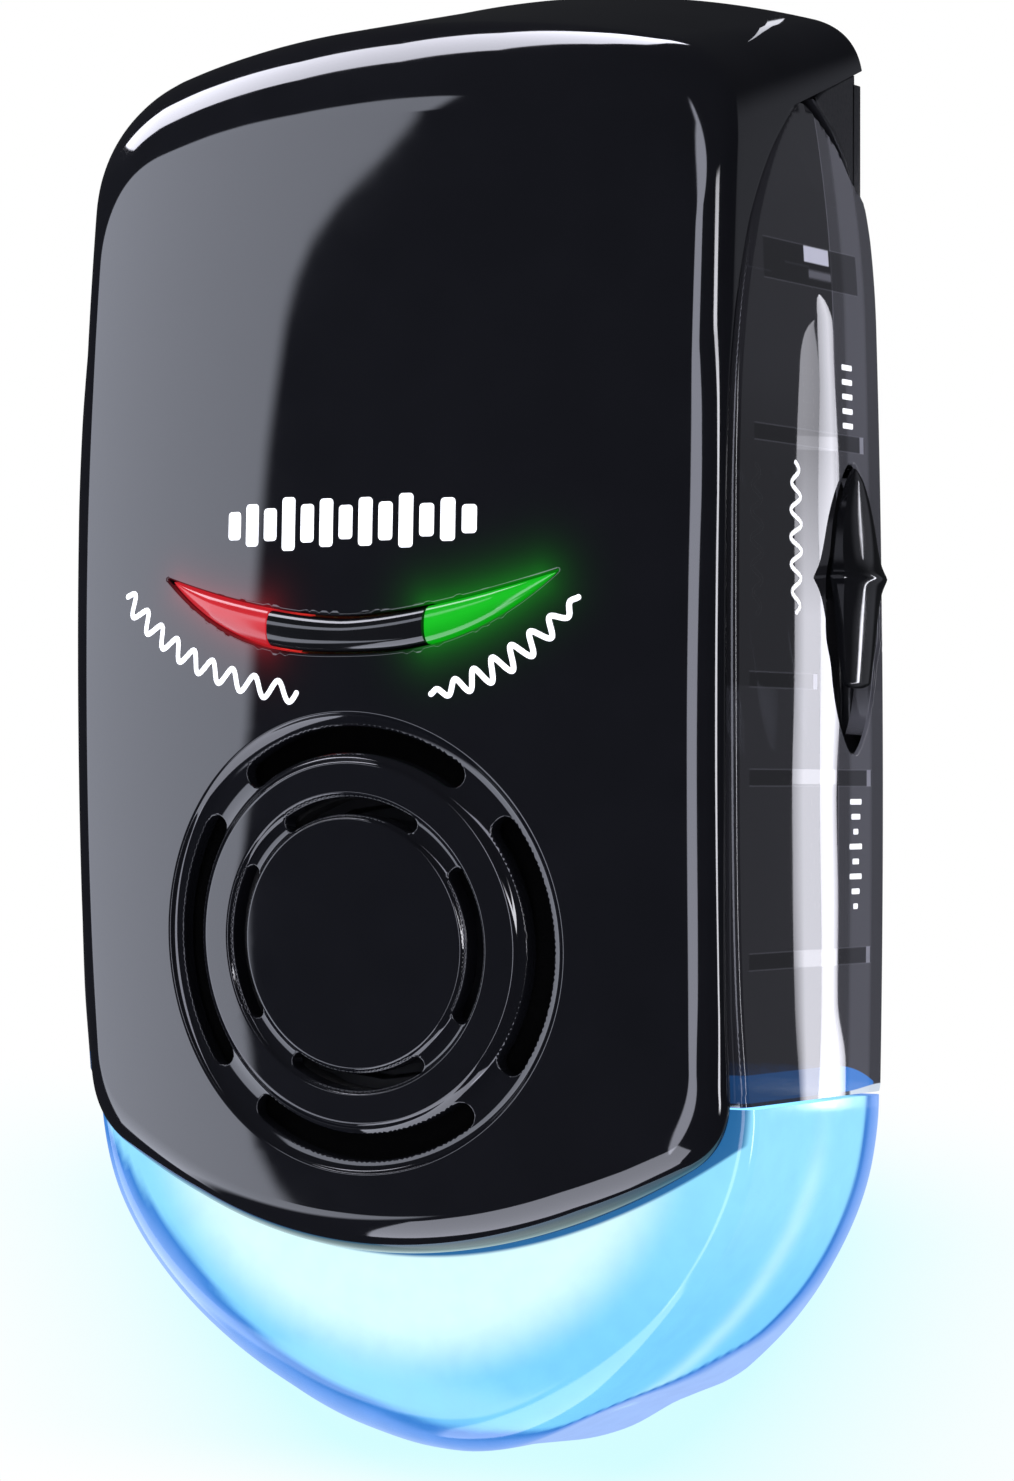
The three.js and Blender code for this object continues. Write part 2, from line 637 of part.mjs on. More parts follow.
function lensShell() {
  const vertices = [];
  const tris = [];
  const count = LENS_STEPS + 1;
  // one skin of the bowl; returns the vertices along its open top
  const skin = (offset, side) => {
    const columns = Array.from({ length: count },
      (_, i) => lensColumn(Math.PI * i / LENS_STEPS, offset));
    const rings = columns[0].length;
    const front = vertices.length;
    const back = front + 1 + rings * count;
    const at = (k, i) => front + 1 + k * count + i;
    vertices.push([0, lensFaceY(0, LENS_TOP) + offset, LENS_TOP]);
    for (let k = 0; k < rings; k++) {
      for (const column of columns) vertices.push(column[k]);
    }
    vertices.push([0, 37.1 - offset, LENS_TOP]);
    const quad = quadWriter(tris, side);
    const tri = (a, b, c) => (side > 0 ? tris.push(a, b, c) : tris.push(a, c, b));
    for (let i = 0; i < LENS_STEPS; i++) {
      tri(front, at(0, i + 1), at(0, i));
      tri(back, at(rings - 1, i), at(rings - 1, i + 1));
      for (let k = 0; k < rings - 1; k++) {
        quad(at(k, i), at(k, i + 1), at(k + 1, i + 1), at(k + 1, i));
      }
    }
    const rim = [front];
    for (let k = 0; k < rings; k++) rim.push(at(k, 0));
    rim.push(back);
    for (let k = rings - 1; k >= 0; k--) rim.push(at(k, LENS_STEPS));
    return rim;
  };
  const outerRim = skin(0, 1);
  const innerRim = skin(WALL, -1);
  const quad = quadWriter(tris);
  for (let i = 0; i < outerRim.length; i++) {
    const j = (i + 1) % outerRim.length;
    quad(outerRim[i], outerRim[j], innerRim[j], innerRim[i]);
  }
  return fromPoints(vertices, tris);
}

const lensTabs = [-TAB_X, TAB_X].flatMap(x => [
  box(x - 3, x + 3, 32.9, 34.9, -34, -28.6),
  box(x - 3, x + 3, 32.9, 35.6, -35, -32.5),
]);
add('night_light_lens', union(lensShell(), ...lensTabs), finish.lens);

// ---------------------------------------------------------------- rear cover
const PLUG = { halfWidth: 13, halfHeight: 10 };

// [x, z] outline of the wall plate
function rearOutline() {
  const INSET = WALL + 0.8;        // from the cover's outer skin
  const TOP_REACH = 65.6;          // height over which the top is scaled in
  const plateX = z => windowRear(z) - WALL - 0.35;
  const right = [];
  for (let z = SEAM_Z + 0.3; z < 51.5; z += 8) right.push([plateX(z), z]);
  right.push([plateX(51.2), 51.2], [33.9, 52.2], [33.9, 63.2], [31.4, 63.4]);
  STATIONS.forEach((_, i) => {
    const [x, z, topness] = outlineAt(i, REAR_Y);
    if (topness > 0.15) {
      right.push([
        x * (HALF_W - INSET) / HALF_W,
        FACE_ZC + (z - FACE_ZC) * (TOP_REACH - INSET) / TOP_REACH,
      ]);
    }
  });
  // leaves out points that neither climb nor move inwards
  const kept = right.filter(([x, z], i) => (
    i === 0 || z > right[i - 1][1] + 0.2 || x < right[i - 1][0] - 0.2));
  const left = kept.filter(([x]) => x > 0.01).map(([x, z]) => [-x, z]);
  return [...kept, ...left.reverse()];
}

// upper shoulders, seen from the side: [y, z]
const SHOULDER = [
  [27.2, 60.5], [29.1, 59.4], [31.4, 58.0], [33.3, 56.3], [34.7, 54.2], [35.6, 52.9],
  [35.6, 63.2], [31.6, 63.0], [29.6, 62.5], [27.8, 61.7], [27.2, 61.0],
];
// clearance for the pointed heads of the side windows: [y, z]
const HEAD_CLEARANCE = [
  [20, 50], [37.6, 50], [37.6, 52.0], [37.1, 52.3], [34.8, 54.4], [33.3, 56.4],
  [31.3, 58.1], [29.0, 59.45], [26.8, 60.45], [20, 60.45],
];

function rearCover() {
  let cover = toSolid(plateXZ(rearOutline(), 35.2, DEPTH));
  for (const side of [-1, 1]) {
    cover = union(cover, plateYZ(SHOULDER, ...span(side, 31.6, 33.9)));
  }
  for (const side of [-1, 1]) {
    cover = cut(cover, plateYZ(HEAD_CLEARANCE, ...span(side, 32.3, 36)));
  }
  const seatX = PLUG.halfWidth + GAP;
  const seatZ = PLUG.halfHeight + GAP;
  const labelX = LABEL.halfWidth + GAP;
  cover = cut(cover,
    box(-seatX, seatX, 34, 38.5, PLUG_Z - seatZ, PLUG_Z + seatZ),
    box(-labelX, labelX, 37.1, 38.5, LABEL.bottom - GAP, LABEL.top + GAP));
  // pillars that carry the main board
  for (const [x, z] of BOARD_SCREWS) {
    cover = union(cover, cylinderY(x, z, 2.8, BOARD_Y + BOARD_T + 0.3, 35.8, 12));
    cover = cut(cover, cylinderY(x, z, 1.35, 20, 34.8, 10));
  }
  // countersinks and holes for the case screws
  for (const [x, z] of POSTS) {
    cover = cut(cover,
      cylinderY(x, z, 2.9, 35.9, 38.5, 16),
      cylinderY(x, z, 1.6, 34, 38, 10));
  }
  return cover;
}
add('rear_cover', rearCover(), finish.rear);

// case screws with cross recess
function caseScrew(x, z) {
  const HEAD_Y = 36.05;
  const LONG = 1.4;      // half length and half width of the recess
  const NARROW = 0.28;
  const recess = [HEAD_Y + 0.7, HEAD_Y + 2];
  return cut(
    union(
      cylinderY(x, z, 2.6, HEAD_Y, HEAD_Y + 1.2, 14),
      cylinderY(x, z, 1.15, 22.5, HEAD_Y + 0.4, 8)),
    box(x - LONG, x + LONG, ...recess, z - NARROW, z + NARROW),
    box(x - NARROW, x + NARROW, ...recess, z - LONG, z + LONG));
}
POSTS.forEach(([x, z], i) => add(`case_screw_${i + 1}`, caseScrew(x, z), finish.steel));

// ---------------------------------------------------------------- plug
const BLADE = { pitch: 12.7, width: 6.35, thickness: 1.52, length: 17.3 };
const BLADE_SLOT = BLADE.thickness / 2 + 0.2;   // half width of the slots the blades sit in

function plugBlock() {
  const { halfWidth, halfHeight } = PLUG;
  const block = union(
    box(-halfWidth, halfWidth, 34.9, DEPTH, PLUG_Z - halfHeight, PLUG_Z + halfHeight),
    box(-11.2, 11.2, 28.6, 35.2, PLUG_Z - 7.8, PLUG_Z + 7.8));
  const slots = [-BLADE.pitch / 2, BLADE.pitch / 2].map(
    x => box(x - BLADE_SLOT, x + BLADE_SLOT, 27, 39, PLUG_Z - 3.4, PLUG_Z + 3.4));
  return cut(block, ...slots);
}

function blade(x) {
  const root = 26.2;
  const tip = DEPTH + BLADE.length;
  const half = BLADE.width / 2;
  // upper edge as [y, height above the blade's centre line]; the lower edge mirrors it
  const edge = [[tip, half - 2.1], [tip - 0.9, half - 0.9], [tip - 3.2, half], [root, half]];
  const profile = [
    ...edge.map(([y, rise]) => [y, PLUG_Z - rise]).reverse(),
    ...edge.map(([y, rise]) => [y, PLUG_Z + rise]),
  ];
  return cut(
    plateYZ(profile, x - BLADE.thickness / 2, x + BLADE.thickness / 2),
    cylinderX(DEPTH + 11.7, PLUG_Z, 1.6, x - 2, x + 2, 16));
}

const bladeTerminal = x => cut(
  box(x - 2.1, x + 2.1, 25.2, 28.2, PLUG_Z - 3.6, PLUG_Z + 3.6),
  box(x - BLADE_SLOT, x + BLADE_SLOT, 25.9, 29, PLUG_Z - 4, PLUG_Z + 4));

add('plug_block', plugBlock(), finish.block);
for (const [side, name] of [[-1, 'blade_left'], [1, 'blade_right']]) {
  const x = side * BLADE.pitch / 2;
  add(name, blade(x), finish.nickel);
  add(`${name}_terminal`, bladeTerminal(x), finish.brass);
}

// ---------------------------------------------------------------- slide buttons and switches
// domed cap with a raised ridge across its middle
function buttonCap(side) {
  const ROWS = 20;
  const COLUMNS = 6;
  const BASE_X = 34.0;
  const vertices = [];
  for (const isBase of [false, true]) {
    for (let i = 0; i <= ROWS; i++) {
      const u = -Math.cos(Math.PI * i / ROWS) * 0.985;
      const z = BUTTON.z + BUTTON.halfLength * u;
      for (let j = 0; j <= COLUMNS; j++) {
        const v = -1 + 2 * j / COLUMNS;
        const y = BUTTON.y + Math.max(0.45, buttonHalf(u)) * v;
        const crown = Math.max(0, 1 - v * v);
        const dome = 0.95 * Math.sqrt(crown) * (1 - u * u * 0.8);
        const ridge = 2.0 * Math.pow(crown, 0.6)
          * Math.exp(-Math.pow(Math.abs(u) / 0.16, 1.25));
        const outerX = windowHalf(Math.max(14, y), z) + 0.15 + dome + ridge;
        vertices.push([side * (isBase ? BASE_X : outerX), y, z]);
      }
    }
  }
  const tris = [];
  const quad = quadWriter(tris, side);
  const at = (layer, i, j) => (layer * (ROWS + 1) + i) * (COLUMNS + 1) + j;
  const end = COLUMNS;
  for (let i = 0; i < ROWS; i++) {
    for (let j = 0; j < COLUMNS; j++) {
      quad(at(0, i, j), at(0, i, j + 1), at(0, i + 1, j + 1), at(0, i + 1, j));
      quad(at(1, i, j), at(1, i + 1, j), at(1, i + 1, j + 1), at(1, i, j + 1));
    }
    quad(at(0, i, 0), at(0, i + 1, 0), at(1, i + 1, 0), at(1, i, 0));
    quad(at(0, i, end), at(1, i, end), at(1, i + 1, end), at(0, i + 1, end));
  }
  for (let j = 0; j < COLUMNS; j++) {
    quad(at(0, 0, j), at(1, 0, j), at(1, 0, j + 1), at(0, 0, j + 1));
    quad(at(0, ROWS, j), at(0, ROWS, j + 1), at(1, ROWS, j + 1), at(1, ROWS, j));
  }
  return fromPoints(vertices, tris);
}

function sliderButton(side) {
  const { z } = BUTTON;
  const stem = box(...span(side, 31.4, 34.6), 29.3, 33.3, z - 2.6, z + 2.6);
  // broad flange that keeps the slot closed over the whole travel
  const flange = box(...span(side, 32.35, 33.25), 25.4, 34.9,
    BUTTON.lowest - 1.0, BUTTON.top + BUTTON.travel + 0.9);
  const leverHole = box(...span(side, 30.0, 33.4), 30.0, 32.6, z - 1.3, z + 1.3);
  return cut(union(buttonCap(side), stem, flange), leverHole);
}

function switchLever(side) {
  const { z } = BUTTON;
  return union(
    box(...span(side, 26.6, 32.9), 30.3, 32.3, z - 1, z + 1),
    box(...span(side, 24.4, 26.8), 29.2, 33.4, z - 2.2, z + 2.2));
}

function switchBody(side) {
  const middle = BUTTON.z - BUTTON.travel / 2;
  return cut(
    box(...span(side, 23.2, 28.6), 27.9, 34.6, middle - 8.6, middle + 8.6),
    box(...span(side, 24.0, 27.2), 28.7, 33.8, middle - 5.4, middle + 5.4),
    box(...span(side, 26.0, 30), 29.9, 32.7, middle - 4.2, middle + 4.2));
}

for (const [side, name] of [[1, 'mode'], [-1, 'night_light']]) {
  add(`${name}_slider_button`, sliderButton(side), finish.button);
  add(`${name}_switch_lever`, switchLever(side), finish.nylon);
  add(`${name}_switch_body`, switchBody(side), finish.steel);
}

// ---------------------------------------------------------------- main board
function mainBoard() {
  const faces = [BOARD_Y, BOARD_Y + BOARD_T];
  const holes = BOARD_SCREWS.map(([x, z]) => cylinderY(x, z, 1.35, 22, 26, 10));
  // ears beside the slide switches
  const ears = [-1, 1].map(side => box(...span(side, 22, 28.4), ...faces, 4, 23));
  const outline = [[-22.4, -25], [22.4, -25], [22.4, 52], [-22.4, 52]];
  return union(cut(plateXZ(outline, ...faces), ...holes), ...ears);
}
add('main_board', mainBoard(), finish.board);

const boardScrew = (x, z) => cut(
  union(
    cylinderY(x, z, 2.2, BOARD_Y - 1.5, BOARD_Y - 0.3, 12),
    cylinderY(x, z, 1.0, BOARD_Y - 0.7, 32.5, 8)),
  box(x - 1.2, x + 1.2, BOARD_Y - 3, BOARD_Y - 1.0, z - 0.25, z + 0.25));
BOARD_SCREWS.forEach(([x, z], i) => {
  add(`board_screw_${i + 1}`, boardScrew(x, z), finish.steel);
});

// components, in front of the board
const MOUNT_Y = BOARD_Y - 0.3;
add('film_capacitor', box(-20, -7, MOUNT_Y - 10, MOUNT_Y, 20.5, 26.5), finish.film);
add('filter_capacitor', toSolid(cylinderZ(14, MOUNT_Y - 5.4, 5, 22, 34, 18)), finish.can);
add('bridge_rectifier', box(-19.5, -12, MOUNT_Y - 3, MOUNT_Y, 29.5, 36), finish.chip);
add('controller_chip', box(-4, 6, MOUNT_Y - 1.8, MOUNT_Y, -4, 4), finish.chip);
add('fuse', toSolid(cylinderZ(-17, MOUNT_Y - 3.2, 2.4, 4, 14, 12)), finish.glass);
add('dropper_resistor', toSolid(cylinderZ(-10.5, MOUNT_Y - 2.6, 1.9, 4, 14, 12)),
  finish.ceramic);

// electromagnetic field coil: bobbin, winding and bar core
const coilCylinder = (radius, left, right, segments) => (
  cylinderX(15.4, 43.5, radius, left, right, segments));
const coilBobbin = cut(
  union(
    coilCylinder(6.6, -11, -9.6, 20),
    coilCylinder(6.6, 9.6, 11, 20),
    coilCylinder(3.9, -10, 10, 16)),
  coilCylinder(2.6, -12, 12, 12));
add('coil_bobbin', coilBobbin, finish.nylon);
add('coil_winding', cut(coilCylinder(6.0, -9.3, 9.3, 20), coilCylinder(4.2, -12, 12, 16)),
  finish.copper);
add('coil_core', coilCylinder(2.3, -12.5, 12.5, 12), finish.ferrite);

// ---------------------------------------------------------------- sound transducer
const grilleCylinder = (radius, front, back, segments) => (
  cylinderY(0, GRILLE_Z, radius, front, back, segments));
// profiles of [radius, y]
const FRAME_PROFILE = [
  [0, 16.8], [7.6, 16.8], [10.2, 14.0], [14.0, 10.8], [14.0, 7.0], [12.6, 7.0],
  [12.6, 10.1], [9.3, 12.9], [7, 15.3], [0, 15.3],
];
const CONE_PROFILE = [
  [0, 12.6], [2.5, 12.0], [11.6, 9.0], [12.3, 9.0], [12.3, 8.5], [11.4, 8.5],
  [2.5, 11.4], [0, 11.9],
];
add('transducer_gasket', cut(grilleCylinder(14.2, 4.4, 6.7, 24), grilleCylinder(13.5, 3, 8, 24)),
  finish.foam);
// acoustic felt ring behind the grille slots
add('grille_felt', cut(grilleCylinder(21.6, 6.2, 7.9, 32), grilleCylinder(14.6, 4, 9, 32)),
  finish.foam);
add('transducer_frame', latheY(FRAME_PROFILE, 0, GRILLE_Z, 24), finish.chip);
add('transducer_cone', latheY(CONE_PROFILE, 0, GRILLE_Z, 24), finish.cone);
add('piezo_disc', grilleCylinder(5, 13.2, 13.8, 18), finish.brass);

// ---------------------------------------------------------------- lamps and their boards
// lamp profile from the tip: [radius, distance]; the flange starts at length
const lampProfile = length => [
  [0, 0], [1.5, 0.4], [2.3, 1.6], [2.5, 3], [2.5, length], [2.9, length],
  [2.9, length + 1], [0, length + 1],
];
add('indicator_board', box(-18.5, 18.5, 12.6, 13.8, 6.4, 18), finish.board);
const indicatorLamp = x => latheY(
  lampProfile(4.7).map(([radius, y]) => [radius, y + 6.6]), x, 12.4, 16);
add('red_lamp', indicatorLamp(-13.6), finish.redLamp);
add('green_lamp', indicatorLamp(13.6), finish.greenLamp);

function nightLightDeck() {
  return cut(
    box(-32.6, 32.6, 14.5, 34.9, SEAM_Z + 0.35, -28.2),
    ...[-TAB_X, TAB_X].map(x => box(x - 3.5, x + 3.5, 32.5, 36, -33, -27)),
    box(-6, 6, 20, 28, -33, -27),
    ...[-POST_X, POST_X].map(x => cylinderY(x, POST_Z[1], 3.4, 10, 36, 14)));
}
add('night_light_deck', nightLightDeck(), finish.white);
add('night_light_board', box(-24, 24, 19, 29, -33.4, -32.2), finish.board);

// points down into the bowl
function blueLamp(x) {
  const points = lampProfile(4.6).map(([radius, height]) => new THREE.Vector2(radius, height));
  const geometry = new THREE.LatheGeometry(points, 14);
  geometry.rotateX(Math.PI / 2);
  geometry.translate(...place(x, 24, -39.3));
  return geometry;
}
[-16, 0, 16].forEach((x, i) => add(`blue_lamp_${i + 1}`, blueLamp(x), finish.blueLamp));

// ---------------------------------------------------------------- wires
// paths of [x, y, z]; the paired ones are for the right side
const MAINS_PATH = [
  [6.35, 26.2, 15.5], [6.9, 27.2, 11], [9, 28.5, 6], [12, 27.6, 2], [13, 26.2, 0.6],
];
const SPEAKER_PATH = [
  [2.2, 17.5, GRILLE_Z + 2], [3.5, 20.8, GRILLE_Z + 5.2], [5, 22.2, GRILLE_Z + 8.2],
];
const INDICATOR_PATH = [[0, 14.3, 9], [0.5, 17.2, 9.4], [1, 20, 10.6], [1.2, 22.2, 12]];
const NIGHT_LIGHT_PATH = [
  [0, 25.5, -31.7], [0.4, 26.2, -28.6], [0.6, 26.6, -25], [0.4, 26.2, -20], [0, 25.4, -16],
];
const toLeft = path => path.map(([x, y, z]) => [-x, y, z]);
add('mains_wire_left', wire(toLeft(MAINS_PATH), 0.7, 12), finish.blackWire);
add('mains_wire_right', wire(MAINS_PATH, 0.7, 12), finish.blackWire);
add('speaker_wire_1', wire(toLeft(SPEAKER_PATH), 0.5, 8), finish.redWire);
add('speaker_wire_2', wire(SPEAKER_PATH, 0.5, 8), finish.blackWire);
add('indicator_wire', wire(INDICATOR_PATH, 0.5, 8), finish.redWire);
add('night_light_wire', wire(NIGHT_LIGHT_PATH, 0.6, 10), finish.redWire);

// ---------------------------------------------------------------- rating label
add('rating_label',
  box(-LABEL.halfWidth, LABEL.halfWidth, 37.15, 37.4, LABEL.bottom, LABEL.top), finish.label);

export default object;
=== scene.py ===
# Looks of a plug-in ultrasonic pest repeller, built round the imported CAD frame.
# Shapes are worked out in millimetres in body coordinates: x to the right seen from the front,
# y the depth behind the front-most point, z up. place() moves them into the frame, whose
# origin lies on the back face (y = DEPTH) at the height of the plug (z = PLUG_Z).
import math

import bpy
import numpy as np
from mathutils import Matrix, Vector
from mathutils.geometry import delaunay_2d_cdt


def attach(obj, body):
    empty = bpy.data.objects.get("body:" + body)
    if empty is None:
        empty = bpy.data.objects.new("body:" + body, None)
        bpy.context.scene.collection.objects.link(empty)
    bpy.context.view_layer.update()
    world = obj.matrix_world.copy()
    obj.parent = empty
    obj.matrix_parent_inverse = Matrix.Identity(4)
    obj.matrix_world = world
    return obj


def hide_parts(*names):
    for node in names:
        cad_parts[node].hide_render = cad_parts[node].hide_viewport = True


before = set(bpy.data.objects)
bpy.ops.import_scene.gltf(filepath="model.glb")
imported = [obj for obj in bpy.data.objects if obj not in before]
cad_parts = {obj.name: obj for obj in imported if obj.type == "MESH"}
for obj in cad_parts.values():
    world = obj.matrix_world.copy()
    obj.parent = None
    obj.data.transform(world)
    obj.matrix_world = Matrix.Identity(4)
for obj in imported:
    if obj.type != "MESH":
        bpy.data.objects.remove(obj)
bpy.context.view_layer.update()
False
scene = bpy.context.scene

# ------------------------------------------------------------------ driving sizes (mm)
DEPTH = 37.5
PLUG_Z = 20.0
HALF_WIDTH = 34.65
CENTRE_Z = 7.9           # height of the crown of the front face
BOTTOM_Z = -45.75        # lowest point of the cover
BOTTOM_BOW = 104.8       # the bottom edge rises by x * x / BOTTOM_BOW
SEAM_Z = -31.4           # joint between side windows and night light
LENS_HEIGHT = 31.3
WALL = 2.0
GAP = 0.3                # between cover and side windows
COVER_REAR = 37.2
RING_Z = -17.17          # centre of the round grille
SLOT_ROUNDING, SMILE_ROUNDING = 0.16, 0.30
BUTTON_Z, BUTTON_Y = 16.4, 31.2
BUTTON_HALF_LENGTH, BUTTON_HALF_WIDTH = 10.2, 5.0
BUTTON_TRAVEL = 5.6
BUTTON_GAP = 0.35
BLADE_X = 6.35
BACK_INNER = 35.2        # inner side of the back plate
WELL_FLOOR = 35.9        # floor of the screw wells in the back plate
SCREWS = [(side * 26.8, z) for side in (-1, 1) for z in (44, -22)]


# ------------------------------------------------------------------ surfaces
def pchip(stations, values):
    """Shape-keeping cubic through a table, as a function."""
    stations, values = np.asarray(stations, float), np.asarray(values, float)
    step = np.diff(stations)
    slope = np.diff(values) / step
    tangent = np.zeros(len(stations))
    for i in range(1, len(stations) - 1):
        if slope[i - 1] * slope[i] > 0:
            before, after = 2 * step[i] + step[i - 1], step[i] + 2 * step[i - 1]
            tangent[i] = (before + after) / (before / slope[i - 1] + after / slope[i])
    tangent[0], tangent[-1] = slope[0], slope[-1]

    def curve(x):
        x = np.clip(np.asarray(x, float), stations[0], stations[-1])
        i = np.clip(np.searchsorted(stations, x) - 1, 0, len(step) - 1)
        t = (x - stations[i]) / step[i]
        return ((1 + 2 * t) * (1 - t) ** 2 * values[i] + t * (1 - t) ** 2 * step[i] * tangent[i]
                + t * t * (3 - 2 * t) * values[i + 1] + t * t * (t - 1) * step[i] * tangent[i + 1])
    return curve


def smooth(t):
    return t * t * (3 - 2 * t)


def face(x, z):
    """Depth of the crowned front face."""
    return x * x / 193.0 + (z - CENTRE_Z) ** 2 / 849.2


def cover_half(z):
    return HALF_WIDTH - (z - 20) ** 2 / 4400


def depth_share(y):
    """0 at the front of the flanks, 1 at their rear."""
    return (y - 9) / 28


# Rear edge of the cover: height z, depth y.
EDGE = [
    (-60, 10.2), (-45.7, 10.2), (-38, 10.6), (-31.4, 10.2), (-21.7, 9.0), (-12.9, 8.5), (-4, 8.3),
    (13.7, 8.15), (22.5, 8.2), (31.5, 8.75), (38.8, 10.0), (47.2, 12.8), (53.9, 17.0),
    (57.8, 20.9), (59.8, 23.6), (60.65, 25.4), (61.2, 27.2), (61.6, 29.5), (61.85, 32.0),
    (62.0, 37.2), (90, 37.21)]
edge_y = pchip(*zip(*EDGE))


def window_rear(z):
    """Half width of the body across the side windows at their rear."""
    return 36.35 - (z + 5) ** 2 / 2800 - np.maximum(0, z - 40) ** 2 * 0.005


def window_front(z):
    """Half width of the body across the side windows at their front."""
    return 35.4 - np.maximum(0, z - 20) ** 2 * 0.0007


def window_half(y, z):
    """x of the right window's outer side, with its front edge rounded."""
    edge, rounding = edge_y(z) + GAP, 0.7
    flat = window_front(z) + (window_rear(z) - window_front(z)) * depth_share(y)
    lean = np.clip((edge + rounding - y) / rounding, 0, 1)
    return flat - 0.6 * (1 - np.sqrt(np.maximum(0, 1 - lean * lean)))


def bezier(start, control, end, t):
    return [(1 - t) ** 2 * start[k] + 2 * t * (1 - t) * control[k] + t * t * end[k]
            for k in (0, 1)]


def outline_at(part, share, y):
    """x, z and top share of the cover's right outline at depth y; share runs along the part."""
    def bottom(x):
        return BOTTOM_Z + x * x / BOTTOM_BOW

    def top(x):
        return top_z - x * x / 200

    bottom_x, corner_z, side_z, top_corner_x = 30.4, -34.65, -30.4, 34.25
    cut = 8.5 - 3.5 * min(1, max(0, depth_share(y)))
    top_z = 67.8 + 0.235 * (y - 11)
    top_corner_z = top(top_corner_x)
    side_end = (cover_half(top_corner_z - cut), top_corner_z - cut)
    top_start = (top_corner_x - cut, top(top_corner_x - cut))
    if part == "bottom":
        return bottom_x * share, bottom(bottom_x * share), 0.0
    if part == "corner":
        x, z = bezier((bottom_x, bottom(bottom_x)), (cover_half(corner_z), corner_z),
                      (cover_half(side_z), side_z), share)
        return x, z, 0.0
    if part == "side":
        z = side_z + (side_end[1] - side_z) * share
        return cover_half(z), z, 0.0
    if part == "shoulder":
        x, z = bezier(side_end, (cover_half(top_corner_z), top_corner_z), top_start, share)
        return x, z, smooth(share)
    x = top_start[0] * (1 - share)
    return x, top(x), 1.0


# Stations along the right outline, from the middle of the bottom to the middle of the top.
STATIONS = [("bottom", 0.0)]
for part, count in (("bottom", 44), ("corner", 20), ("side", 96), ("shoulder", 28), ("top", 34)):
    STATIONS += [(part, i / count) for i in range(1, count + 1)]
ROLLOVER = [0, 0.05, 0.12, 0.2, 0.28, 0.36, 0.44, 0.52, 0.6, 0.68, 0.76, 0.84, 0.92, 1.0]
FLANK = [0.14, 0.3, 0.5, 0.7, 0.86]


def cover_column(part, share):
    """Outer skin points at one station, rollover then flank, and the depth of the rear edge."""
    top_share = outline_at(part, share, 20)[2]
    bottom_share = {"bottom": 1.0, "corner": 1 - share}.get(part, 0.0)
    reach = 1 - 0.024 * top_share        # how far the rollover follows its quarter circle
    radius = 2.4 + top_share * 5.6 + bottom_share * 2.6
    if top_share == 0:
        x, z, _ = outline_at(part, share, 9)
        radius = min(radius, float(edge_y(z)) - 0.35 - face(x, z))
    flank_y = 10.0
    for _ in range(5):
        x, z, _ = outline_at(part, share, flank_y)
        flank_y = face(x, z) + radius * (1 - math.sqrt(1 - reach * reach))
    side_x, side_z, _ = outline_at(part, share, flank_y)
    shrink_x, shrink_z = 0.075, 0.156 if side_z > CENTRE_Z else 0.075
    # halve the interval until it closes on the rear edge
    low, high = flank_y + 0.15, COVER_REAR
    for _ in range(40):
        middle = (low + high) / 2
        if middle < float(edge_y(outline_at(part, share, middle)[1])):
            low = middle
        else:
            high = middle
    end_y = max(low, flank_y + 0.2)
    points = []
    last_angle = math.asin(min(1.0, reach))
    for turn in ROLLOVER:
        sine = math.sin(turn * last_angle)
        inward = 1 - sine / reach
        x = side_x * (1 - inward * shrink_x)
        z = CENTRE_Z + (side_z - CENTRE_Z) * (1 - inward * shrink_z)
        points.append((x, face(x, z) + radius * (1 - math.sqrt(max(0, 1 - sine * sine))), z))
    for along in FLANK:
        y = flank_y + (end_y - flank_y) * along
        x, z, _ = outline_at(part, share, y)
        points.append((x, y, z))
    return points, end_y


# ------------------------------------------------------------------ mesh helpers
def place(points):
    """Body millimetres to frame metres."""
    return (np.asarray(points, float) - (0, DEPTH, PLUG_Z)) * 1e-3


def unit(vectors):
    return vectors / np.maximum(np.linalg.norm(vectors, axis=-1, keepdims=True), 1e-12)


def vertex_normals(points, triangles):
    across = points[triangles[:, 1]] - points[triangles[:, 0]]
    face_normals = np.cross(across, points[triangles[:, 2]] - points[triangles[:, 0]])
    normals = np.zeros_like(points)
    for k in range(3):
        np.add.at(normals, triangles[:, k], face_normals)
    return unit(normals)


